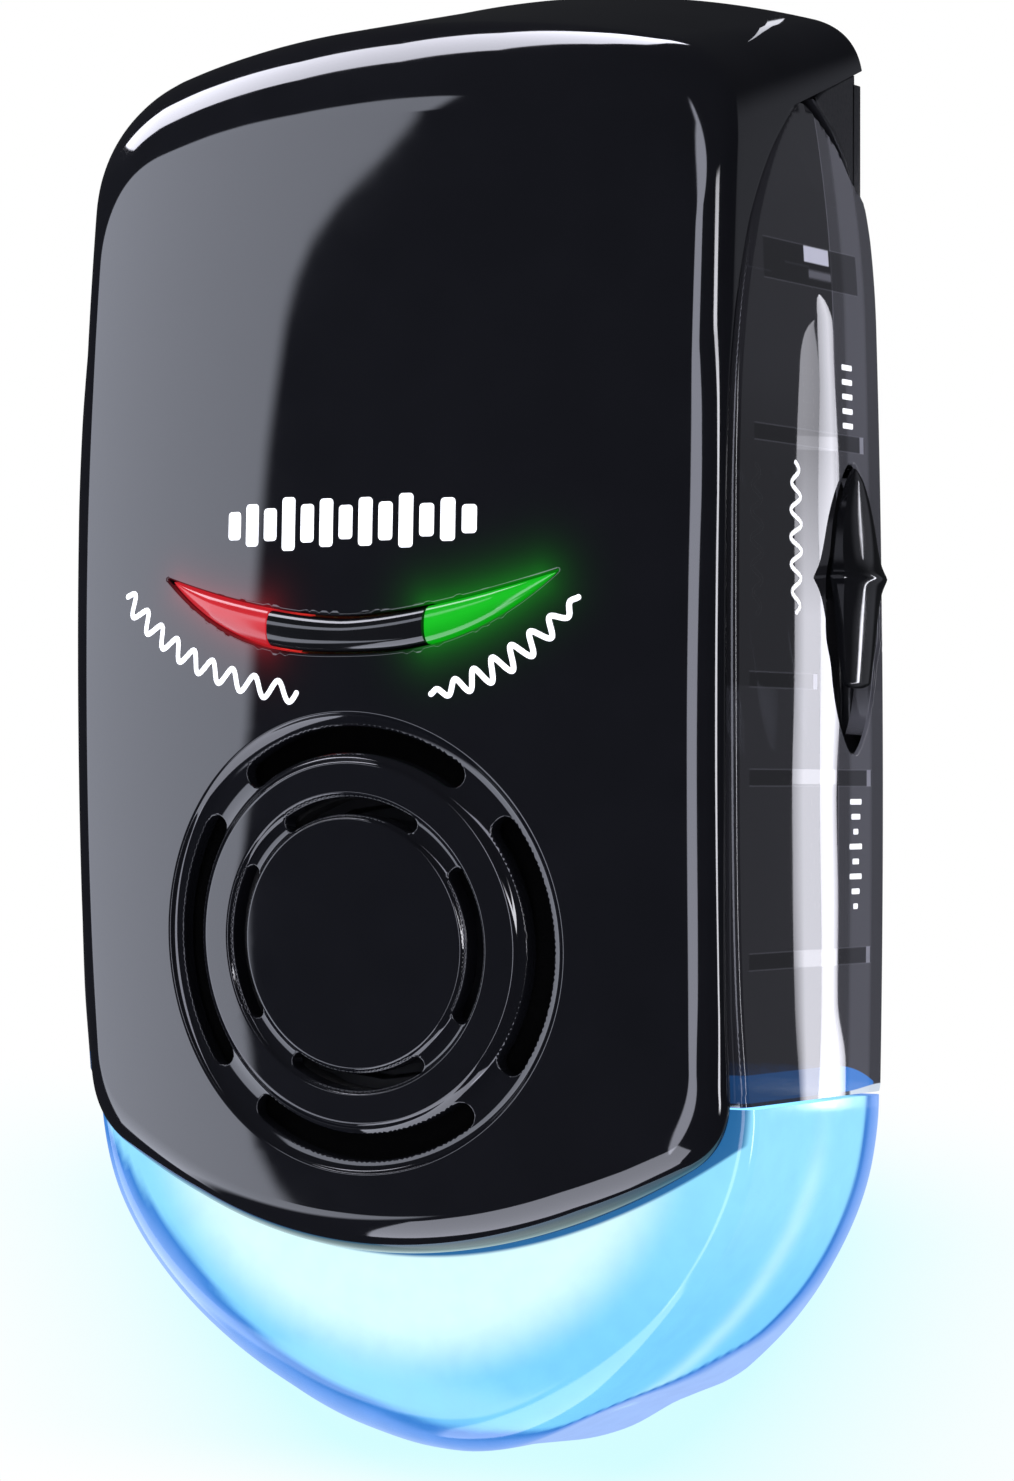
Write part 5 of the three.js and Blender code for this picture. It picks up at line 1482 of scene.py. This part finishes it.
def lit_plastic(name, colour, roughness, shaded_joint=False):
    """Lit plastic: the colour attribute holds the light that comes through."""
    tree = new_material(name)
    spots = tree.noise(420)
    light = tree.mix(1.0, tree.glow(), tree.mottle(spots, (0.97,) * 3, (1.03,) * 3),
                     blend="MULTIPLY")
    if shaded_joint:
        # the joint under the cover's lower edge is in shade
        x, y, z = tree.body("XYZ")
        above_edge = z - x * x / BOTTOM_BOW + (-BOTTOM_Z)
        near = tree.rise(above_edge, -0.75, -0.35) * (1.0 - tree.rise(y, 11.7, 12.3))
        light = tree.mix(near, light, (0.012, 0.11, 0.30, 1))
    tree.principled(
        Base_Color=(*colour, 1), Roughness=tree.spread(spots, roughness * 0.8, roughness * 1.25),
        IOR=1.5, Normal=tree.bump(tree.noise(1500, 2), strength=0.03, distance=0.000005),
        Emission_Color=light, Emission_Strength=1.0)


def board_green():
    """Printed circuit board: solder mask over faint tracks."""
    tree = new_material("board_green")
    brick = tree.node("ShaderNodeTexBrick", {
        "Scale": 260, "Mortar Size": 0.03, "Color1": (0.012, 0.10, 0.035, 1),
        "Color2": (0.016, 0.13, 0.045, 1), "Mortar": (0.03, 0.22, 0.08, 1),
        "Vector": tree.coordinates()})
    tracks = Value(tree, brick.outputs["Fac"])
    tree.principled(
        Base_Color=Value(tree, brick.outputs["Color"]),
        Roughness=tree.spread(tree.noise(900), 0.25, 0.4),
        Normal=tree.bump(tracks, strength=0.3, distance=0.00003))


def label_grey():
    """Silver film of the label."""
    tree = new_material("label_grey")
    fine = tree.noise(1600, 2)
    tree.principled(
        Base_Color=tree.mottle(tree.noise(200), (0.34, 0.345, 0.35), (0.39, 0.395, 0.4)),
        Metallic=0.35, Roughness=tree.spread(fine, 0.3, 0.42),
        Normal=tree.bump(fine, strength=0.15, distance=0.00001))


def make_materials():
    black_gloss()
    black_button()
    smoke_clear()
    lit_plastic("night_light", (0.02, 0.05, 0.07), roughness=0.10, shaded_joint=True)
    lit_plastic("red_window", (0.05, 0.003, 0.004), roughness=0.13)
    lit_plastic("green_window", (0.003, 0.045, 0.005), roughness=0.13)
    moulded("black_rear", (0.0085, 0.0087, 0.0105), roughness=0.36, spread=0.08, grain=2600,
            bump=0.00005, strength=0.5, edge=0)
    moulded("plug_black", (0.02, 0.02, 0.022), roughness=0.5, spread=0.07, grain=2200,
            bump=0.00005, strength=0.45, edge=0)
    # the white print also glows a little: painted light that keeps it bright
    moulded("print_white", (0.86, 0.86, 0.87), roughness=0.45, spread=0.05, grain=3000,
            bump=0.000004, strength=0.2, edge=0, variation=0.02,
            Emission_Color=(1, 1, 1, 1), Emission_Strength=0.42)
    metal("nickel", (0.70, 0.68, 0.64), roughness=0.22, stretch=(0.25, 1, 1), grain=900)
    metal("steel", (0.56, 0.57, 0.58), roughness=0.3)
    metal("brass", (0.72, 0.52, 0.22), roughness=0.28)
    metal("copper", (0.62, 0.24, 0.09), roughness=0.3, stretch=(12, 0.2, 0.2), grain=500,
          bump=0.00004)
    board_green()
    moulded("chip_black", (0.018, 0.018, 0.02), roughness=0.45, spread=0.08, grain=2000,
            bump=0.00003, strength=0.4)
    moulded("capacitor_blue", (0.02, 0.05, 0.2), roughness=0.3, spread=0.05)
    moulded("capacitor_red", (0.38, 0.035, 0.025), roughness=0.35, spread=0.06)
    moulded("nylon", (0.72, 0.69, 0.6), roughness=0.45, spread=0.06,
            Subsurface_Weight=0.1, Subsurface_Scale=0.001)
    moulded("ferrite", (0.045, 0.045, 0.048), roughness=0.6, spread=0.1, grain=1500,
            bump=0.00006, strength=0.6)
    moulded("felt", (0.0015, 0.0015, 0.0015), roughness=0.98, spread=0.02, grain=1400,
            bump=0.0002, strength=0.9, Specular_IOR_Level=0.05)
    moulded("foam", (0.018, 0.018, 0.018), roughness=0.95, spread=0.03, grain=1400,
            bump=0.0002, strength=0.9)
    moulded("cone_film", (0.02, 0.021, 0.024), roughness=0.45, spread=0.06)
    # lamps: name, body colour, colour and strength of the light
    for name, colour, light, strength in (
            ("lamp_red", (0.7, 0.06, 0.05), (1, 0.05, 0.04, 1), 0.5),
            ("lamp_green", (0.08, 0.6, 0.12), (0.05, 1, 0.1, 1), 0.5),
            ("lamp_blue", (0.6, 0.8, 1.0), (0.3, 0.65, 1, 1), 2.0)):
        moulded(name, colour, roughness=0.12, spread=0.03,
                Emission_Color=light, Emission_Strength=strength)
    moulded("fuse_glass", (0.75, 0.78, 0.78), roughness=0.08, spread=0.02)
    moulded("ceramic_tan", (0.5, 0.38, 0.22), roughness=0.55, spread=0.08)
    # the deck glows blue: painted light of the night light's lamps on it
    moulded("deck_white", (0.5, 0.62, 0.78), roughness=0.45, spread=0.06,
            Emission_Color=(0.02, 0.16, 0.45, 1), Emission_Strength=0.6)
    moulded("wire_red", (0.38, 0.03, 0.025), roughness=0.4, spread=0.05)
    moulded("wire_black", (0.02, 0.02, 0.02), roughness=0.45, spread=0.05)
    label_grey()


# Materials of the CAD pieces that stay.
PIECE_MATERIALS = [
    ("brass", "blade_left_terminal blade_right_terminal"),
    ("board_green", "main_board indicator_board night_light_board"),
    ("felt", "grille_felt"),
    ("steel", "board_screw_1 board_screw_2"),
    ("capacitor_red", "film_capacitor"),
    ("capacitor_blue", "filter_capacitor"),
    ("chip_black", "bridge_rectifier controller_chip"),
    ("fuse_glass", "fuse"),
    ("ceramic_tan", "dropper_resistor"),
    ("nylon", "coil_bobbin"),
    ("copper", "coil_winding"),
    ("ferrite", "coil_core"),
    ("foam", "transducer_gasket"),
    ("chip_black", "transducer_frame"),
    ("cone_film", "transducer_cone"),
    ("brass", "piezo_disc"),
    ("lamp_red", "red_lamp"),
    ("lamp_green", "green_lamp"),
    ("deck_white", "night_light_deck"),
    ("lamp_blue", "blue_lamp_1 blue_lamp_2 blue_lamp_3"),
    ("wire_black", "mains_wire_left mains_wire_right"),
    ("wire_red", "speaker_wire_1"),
    ("wire_black", "speaker_wire_2"),
    ("wire_red", "indicator_wire night_light_wire"),
    ("label_grey", "rating_label"),
    ("nylon", "mode_switch_lever night_light_switch_lever"),
    ("steel", "mode_switch_body night_light_switch_body"),
]


def dress_cad_pieces():
    for material, names in PIECE_MATERIALS:
        for name in names.split():
            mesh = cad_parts[name].data
            mesh.materials.clear()
            mesh.materials.append(MATERIALS[material])
            mesh.polygons.foreach_set("use_smooth", np.zeros(len(mesh.polygons), bool))
            mesh.set_sharp_from_angle(angle=math.radians(35))


# ------------------------------------------------------------------ light seen by the glossy surfaces
def broken_line(value, points):
    """Node curve with straight pieces through points of (value, result)."""
    tree = value.tree
    x0, x1 = points[0][0], points[-1][0]
    results = [result for _, result in points]
    low, high = min(results), max(results)
    node = tree.node("ShaderNodeFloatCurve")
    curve = node.mapping.curves[0]
    scaled = [((x - x0) / (x1 - x0), (result - low) / (high - low)) for x, result in points]
    curve.points[0].location, curve.points[1].location = scaled[0], scaled[-1]
    for point in scaled[1:-1]:
        curve.points.new(*point)
    for point in curve.points:
        point.handle_type = "VECTOR"
    node.mapping.update()
    tree.put(node.inputs["Value"], tree.calc("DIVIDE", value - x0, x1 - x0, clamp=True))
    return Value(tree, node.outputs[0]) * (high - low) + low


def left_panel(tree, azimuth, elevation):
    """Seen in the cover's left third; its sides follow the elevation, its top the azimuth."""
    inner = broken_line(elevation, [
        (-36, -22), (-26, -30), (-18.5, -36), (-15.1, -45.0), (-13.5, -47.8), (-5.8, -47.2),
        (0.5, -45.6), (8.5, -43.9), (12.7, -42.3), (14.1, -41.2), (15.5, -39.2), (17.0, -35.6),
        (18.6, -30.4), (20.2, -26), (23, -24), (38, -23)])
    outer = broken_line(elevation, [
        (-40, -104), (-25, -94), (-17.5, -86), (-10, -79), (0, -77), (12, -76), (16, -73),
        (20, -68), (23, -63), (25, -56)])
    top = broken_line(azimuth, [
        (-80, 13), (-72, 17), (-68, 19), (-64.3, 21), (-60, 23.2), (-54.9, 24.8), (-46.7, 26.4),
        (-39.5, 29), (-32.2, 32), (-26.2, 34), (-20, 35)])
    below_top = 1.0 - tree.rise(elevation, top - 0.7, top + 0.7)
    return (tree.zone(azimuth, outer, inner, soft=0.8, soft_high=1.3)
            * (below_top * tree.rise(elevation, -36, -30)))


def curved_strip(tree, axes, way, start, end, near, far):
    """A strip curved in plan, overhead (way 1) or below (way -1). It runs over x / z from
    start to end; the tables near and far give the y / z of its edges."""
    x, y, z = axes
    height = tree.calc("MAXIMUM", z * way, 0.02)
    across, back = x / height, y / height
    low, high = broken_line(across, near), broken_line(across, far)
    strip = (tree.zone(across, start, end, soft=0.01)
             * tree.zone(back, low, high, soft=0.012))
    return strip * tree.rise(z * way, 0.1, 0.12)


def grey_strip(tree, azimuth, elevation):
    """Tall strip on the right."""
    left = broken_line(elevation, [(-60, 30), (-30, 20), (-12, 15), (0, 14), (14, 17), (28, 25),
                                   (42, 33), (58, 35)])
    right = broken_line(elevation, [(-60, 32), (-30, 31), (-12, 32), (0, 33.5), (14, 35),
                                    (42, 36), (58, 36)])
    return (tree.zone(azimuth, left, right, soft=1, soft_high=0.7)
            * ((1.0 - tree.rise(elevation, 50, 58)) * tree.rise(elevation, -60, -55)))


def bright_strip(tree, azimuth, elevation):
    """Narrow strip further to the right."""
    middle = broken_line(elevation, [(-40, 96), (-9, 92), (-5, 87), (0, 84), (9, 76), (15, 70),
                                     (24, 60)])
    across = (tree.rise(azimuth, middle - 4.5, middle - 3.5)
              * (1.0 - tree.rise(azimuth, middle + 3.5, middle + 4.5)))
    return across * ((1.0 - tree.rise(elevation, 11, 22)) * tree.rise(elevation, -26, -18))


def build_world():
    """Panels of light painted by direction; azimuth is 0 at the front and grows rightward."""
    world = bpy.data.worlds.new("studio")
    scene.world = world
    tree = Tree(world, "ShaderNodeOutputWorld")
    split = tree.node("ShaderNodeSeparateXYZ", {0: tree.coordinates("Generated")})
    axes = x, y, z = [Value(tree, socket) for socket in split.outputs]
    azimuth = tree.calc("DEGREES", tree.calc("ARCTAN2", x, y * -1.0))
    elevation = tree.calc("DEGREES", tree.calc("ARCSINE", z))
    right_rear = (tree.zone(azimuth, 140, 167, soft=5, soft_high=4)
                  * tree.rise(elevation, -38, -22) * (1.0 - tree.rise(elevation, 18, 34)))
    overhead = curved_strip(
        tree, axes, way=1, start=-2.1, end=-0.20,
        near=[(-2.2, 0.0), (-1.31, -0.16), (-0.88, -0.30), (-0.55, -0.29), (-0.32, -0.12),
              (-0.21, 0.18), (-0.17, 0.6)],
        far=[(-2.2, 0.62), (-1.18, 0.36), (-0.82, 0.16), (-0.56, 0.15), (-0.42, 0.36),
             (-0.38, 0.72), (-0.15, 0.78)])
    below = curved_strip(
        tree, axes, way=-1, start=-0.60, end=0.50,
        near=[(-0.72, -1.0), (-0.41, -0.956), (0.008, -0.745), (0.21, -0.63), (0.63, -0.884)],
        far=[(-0.65, 0.0), (-0.484, 0.035), (-0.327, 0.072), (-0.069, 0.158), (0.063, 0.19),
             (0.328, -0.104), (0.63, -0.4)])
    # weight and colour of each light
    lights = [
        (tree.rise(y, -1.0, 0.4) * -0.014 + 0.036, (0.88, 0.92, 1.0)),  # dim room
        (right_rear, (0.17, 0.175, 0.20)),
        (left_panel(tree, azimuth, elevation), (2.75, 2.88, 3.35)),
        (overhead, (7.6, 7.6, 8.6)),
        (below, (3.6, 3.7, 4.3)),
        (grey_strip(tree, azimuth, elevation), (4.3, 4.4, 5.2)),
        (bright_strip(tree, azimuth, elevation), (13, 13, 14)),
    ]
    total = None
    for weight, colour in lights:
        light = tree.add("ShaderNodeVectorMath", {0: colour, "Scale": weight},
                         operation="SCALE")
        total = light if total is None else tree.add("ShaderNodeVectorMath",
                                                     {0: total, 1: light})
    # the camera itself sees plain white
    tree.surface(tree.mix_shaders(
        tree.add("ShaderNodeLightPath", output="Is Camera Ray"),
        tree.add("ShaderNodeBackground", {"Color": total}),
        tree.add("ShaderNodeBackground", {"Color": (1, 1, 1, 1)})))
    world.cycles.sampling_method = "MANUAL"
    world.cycles.sample_map_resolution = 512


# ------------------------------------------------------------------ camera and stage (metres)
def build_camera():
    camera = bpy.data.cameras.new("camera")
    holder = bpy.data.objects.new("camera", camera)
    scene.collection.objects.link(holder)
    right, back = Vector((0.86759, 0.49729, 0)), Vector((0.49727, -0.86754, -0.009983))
    up = back.cross(right)
    roll = math.radians(0.098)
    rolled_right = right * math.cos(roll) + up * math.sin(roll)
    rolled_up = -right * math.sin(roll) + up * math.cos(roll)
    matrix = Matrix((rolled_right, rolled_up, back)).transposed().to_4x4()
    matrix.translation = Vector((0.21429, -0.38171, -0.02276))
    holder.matrix_world = matrix
    camera.sensor_fit, camera.sensor_width, camera.lens = "AUTO", 36, 108.86
    camera.clip_start, camera.clip_end = 0.01, 20
    scene.camera = holder


def stage_object(name, points, faces):
    """A stage mesh with a new material of its own name; returns the object and its tree."""
    mesh = bpy.data.meshes.new(name)
    mesh.from_pydata([tuple(p) for p in points], [], faces)
    tree = new_material(name)
    mesh.materials.append(MATERIALS[name])
    made = bpy.data.objects.new(name, mesh)
    scene.collection.objects.link(made)
    return made, tree


def hide_from(thing, *rays):
    for ray in rays:
        setattr(thing, f"visible_{ray}", False)


def build_floor():
    z, half = -0.098, 1.6
    floor, tree = stage_object(
        "floor", [(-half, -half, z), (half, -half, z), (half, half, z), (-half, half, z)],
        [(0, 1, 2, 3)])
    colour = tree.mottle(tree.noise(40), (0.62,) * 3, (0.66,) * 3)
    tree.surface(tree.add_shaders(tree.add("ShaderNodeBsdfDiffuse", {"Color": colour}),
                                  tree.emission((1, 1, 1, 1), 0.80)))
    hide_from(floor, "glossy", "diffuse", "transmission", "shadow")


# Lamps aimed at the origin: name, place, side of the square, power in watts.
LAMPS = [("key", (-0.55, -0.75, 0.75), 0.6, 9.0), ("fill", (0.9, -0.5, 0.35), 0.7, 2.0),
         ("back", (0.1, 0.9, 0.7), 0.8, 9.0)]


def build_lamps():
    for name, location, size, power in LAMPS:
        light = bpy.data.lights.new(name, "AREA")
        light.shape, light.size, light.energy = "SQUARE", size, power
        lamp = bpy.data.objects.new(name, light)
        scene.collection.objects.link(lamp)
        lamp.location = location
        lamp.rotation_mode = "QUATERNION"
        lamp.rotation_quaternion = (-Vector(location)).to_track_quat("-Z", "Y")
        hide_from(lamp, "glossy", "camera")


# Edges and dividing line of the tall card: heights, then distances across it, in mm.
CARD_FIRST = pchip([-62, -57.9, -47.5, -35.9, -24.4, -7, 4.6, 16.8, 25.5, 31.6, 32.9],
                   [0.8, 1.5, 3.1, 4.0, 4.3, 3.4, 2.4, 0.8, -0.4, -1.4, -2.5])
CARD_MIDDLE = pchip([-62, -24, 4.8, 16.9, 25.5, 37], [-0.9, 1.2, -0.4, -1.7, -2.7, -3.3])
CARD_LAST = pchip([-62, -54.8, -47.8, -36, -24.3, -7, 4.6, 17, 27.9, 34, 37.1],
                  [-4.2, -3.4, -1.8, -1.1, -0.7, -2.0, -2.9, -4.0, -4.6, -5.0, -5.1])
# Brighter bands across the card: top height, bottom height, factor.
CARD_BANDS = [(18.6, 16.9, 1.25), (-20.8, -22.5, 1.35), (-41.8, -43.7, 1.3)]
# Crescent: point on the body, azimuth and elevation of its reflection, share of full width.
CRESCENT = [((30.2, 21.6, 65.6), -168, 40.0, 0.0), ((29.7, 23.3, 66.0), -165, 37.5, 0.55),
            ((28.9, 26.4, 67.2), -160, 33.0, 1.0), ((28.3, 29.4, 68.1), -156.7, 27.9, 0.8),
            ((28.0, 32.9, 69.0), -156.2, 26.5, 0.0)]


def tall_card():
    """Points, faces and colours of the two strips side by side."""
    azimuth = math.radians(151)
    across = np.array([-math.cos(azimuth), -math.sin(azimuth), 0])
    origin = np.array([0.084, 0.111 - 0.0375, 0])
    points, faces, colours = [], [], []
    # per strip: top, shares across, and sRGB levels of its three columns high up and low down
    for first, top, shares, levels_high, levels_low in (
            (True, 32.9, (1, 0.2, -1), (124, 122, 112), (140, 186, 184)),
            (False, 37.1, (1, -0.35, -1), (145, 186, 160), (222, 234, 165))):
        heights = list(np.linspace(-62, top - 0.02, 120))
        for high, low, _ in CARD_BANDS:
            heights += [high - 0.03, high + 0.03, low - 0.03, low + 0.03]
        heights = sorted(z for z in heights if z <= top)
        base = len(points)
        for z in heights:
            if first:
                start, end = float(CARD_FIRST(z)), float(CARD_MIDDLE(z))
            else:
                start, end = float(CARD_MIDDLE(z)) - 0.02, float(CARD_LAST(z))
            middle, half = (start + end) / 2, (start - end) / 2
            # the strip closes in a round end over its top 7 mm
            half *= math.sqrt(max(0.0, min(1.0, 1 - max(0.0, (z - (top - 7)) / 7) ** 2.2)))
            down = min(1.0, max(0.0, (19 - z) / 22))
            factor = 1.0
            for high, low, band_factor in CARD_BANDS:
                if low <= z <= high:
                    factor = band_factor
            for i, share in enumerate(shares):
                points.append(origin + across * (middle + half * share) * 1e-3
                              + np.array([0, 0, z * 1e-3]))
                level = levels_high[i] + (levels_low[i] - levels_high[i]) * down
                if i == 0 and first:
                    level *= 0.4 + 0.6 * min(1.0, max(0.25, (z + 70) / 36))
                grey = ((level / 255 + 0.055) / 1.055) ** 2.4 / 0.062 * factor
                colours.append((grey, grey, grey * 1.10))
        for r in range(len(heights) - 1):
            for i in range(2):
                j = base + r * 3 + i
                faces.append((j, j + 1, j + 4, j + 3))
    return points, faces, colours


def build_reflection_card():
    """Tall card whose reflection makes the bright band on the right window, and a short
    curved card for the crescent highlight near the top corner."""
    points, faces, colours = tall_card()
    base = len(points)
    for point, azimuth, elevation, width in CRESCENT:
        for way in (-1, 1):
            turn = math.radians(azimuth + way * 2.6 * width)
            rise = math.radians(elevation - way * 2.1 * width)
            toward = np.array([math.sin(turn) * math.cos(rise),
                               -math.cos(turn) * math.cos(rise), math.sin(rise)])
            points.append(place(np.array(point) + 16 * toward))
            colours.append((1.7, 1.72, 1.9))
    for i in range(len(CRESCENT) - 1):
        j = base + 2 * i
        faces.append((j, j + 1, j + 3, j + 2))
    card, tree = stage_object("reflection_card", points, faces)
    set_glow(card.data.attributes.new("glow", "FLOAT_COLOR", "POINT"), colours)
    tree.surface(tree.add("ShaderNodeEmission", {"Color": tree.glow()}))
    hide_from(card, "camera", "diffuse", "transmission", "shadow")


def build_wall_halo():
    """Cyan light of the night light on the wall, seen only from the front."""
    y, half, z0, z1 = 0.001, 0.13, -0.0978, -0.03
    halo, tree = stage_object(
        "wall_halo", [(-half, y, z0), (half, y, z0), (half, y, z1), (-half, y, z1)],
        [(0, 1, 2, 3)])
    x, z = tree.body("XZ")
    side, down = x + 7.0, z - (SEAM_Z - 4.0)
    radius = tree.calc("SQRT", side * side + down * down)
    away = tree.calc("MAXIMUM", radius - 32.5, 0.0)
    weight = tree.calc("MINIMUM", 2.718 ** (away * (-1 / 15.0)) * 1.35, 1.0)
    weight = weight * (1.0 - tree.rise(z, -47.0, -30.5))
    weight = weight * (1.0 - tree.rise(radius, 60.0, 92.0))
    weight = weight * tree.rise(z, -77.6, -68.0)
    light = tree.add("ShaderNodeEmission",
                     {"Color": tree.mix(weight, (1, 1, 1, 1), (0.66, 0.985, 1.0, 1))})
    tree.surface(tree.mix_shaders(tree.add("ShaderNodeNewGeometry", output="Backfacing"),
                                  light, tree.add("ShaderNodeBsdfTransparent")))
    hide_from(halo, "glossy", "diffuse", "transmission", "shadow")


# ------------------------------------------------------------------ build
def build_indicator():
    bar = build_pillow(-8.25, 8.25, inset=0.2, height=1.15, sink=0.55)
    bar.make("indicator_middle_bar", "black_button", "indicator_bar")
    for colour, x0, x1, round_end, base, hot in (
            ("red", -20.35, -8.45, -20.35, srgb(196, 30, 40), srgb(215, 62, 70)),
            ("green", 8.45, 20.35, 20.35, srgb(8, 172, 18), srgb(40, 205, 50))):
        window = build_pillow(x0, x1, inset=0.12, height=1.0, sink=0.5, round_end=round_end)
        window.tint(window_light(base, hot)).make(
            f"{colour}_window", f"{colour}_window", f"{colour}_indicator_lens", glow=True)


make_materials()
build_cover().make("cover_shell", "black_gloss", "front_cover", glow=True)
build_indicator()
for side, word in ((1, "right"), (-1, "left")):
    build_window(side).make(f"smoke_window_{word}", "smoke_clear", f"side_window_{word}")
build_lens().tint(lens_colour).make("night_light_bowl", "night_light", "night_light_lens",
                                    glow=True)
for side, word in ((1, "mode"), (-1, "night_light")):
    build_button(side).make(f"{word}_button", "black_button", f"{word}_slider_button",
                            body=f"{word}_slider")
build_rear().make("back_plate", "black_rear", "rear_cover")
for number, (x, z) in enumerate(SCREWS, 1):
    build_screw(x, z).make(f"back_screw_{number}", "steel", f"case_screw_{number}")
build_plug().make("plug_insulator", "plug_black", "plug_block")
for side, word in ((-1, "left"), (1, "right")):
    build_blade(side * BLADE_X).make(f"mains_blade_{word}", "nickel", f"blade_{word}")
build_face_prints().make("face_marks", "print_white", slot="label_grey")
build_side_prints().make("side_marks", "print_white", slot="label_grey")
dress_cad_pieces()

build_world()
build_camera()
build_floor()
build_lamps()
build_reflection_card()
build_wall_halo()
scene.view_settings.view_transform = "Standard"
scene.view_settings.look = "None"
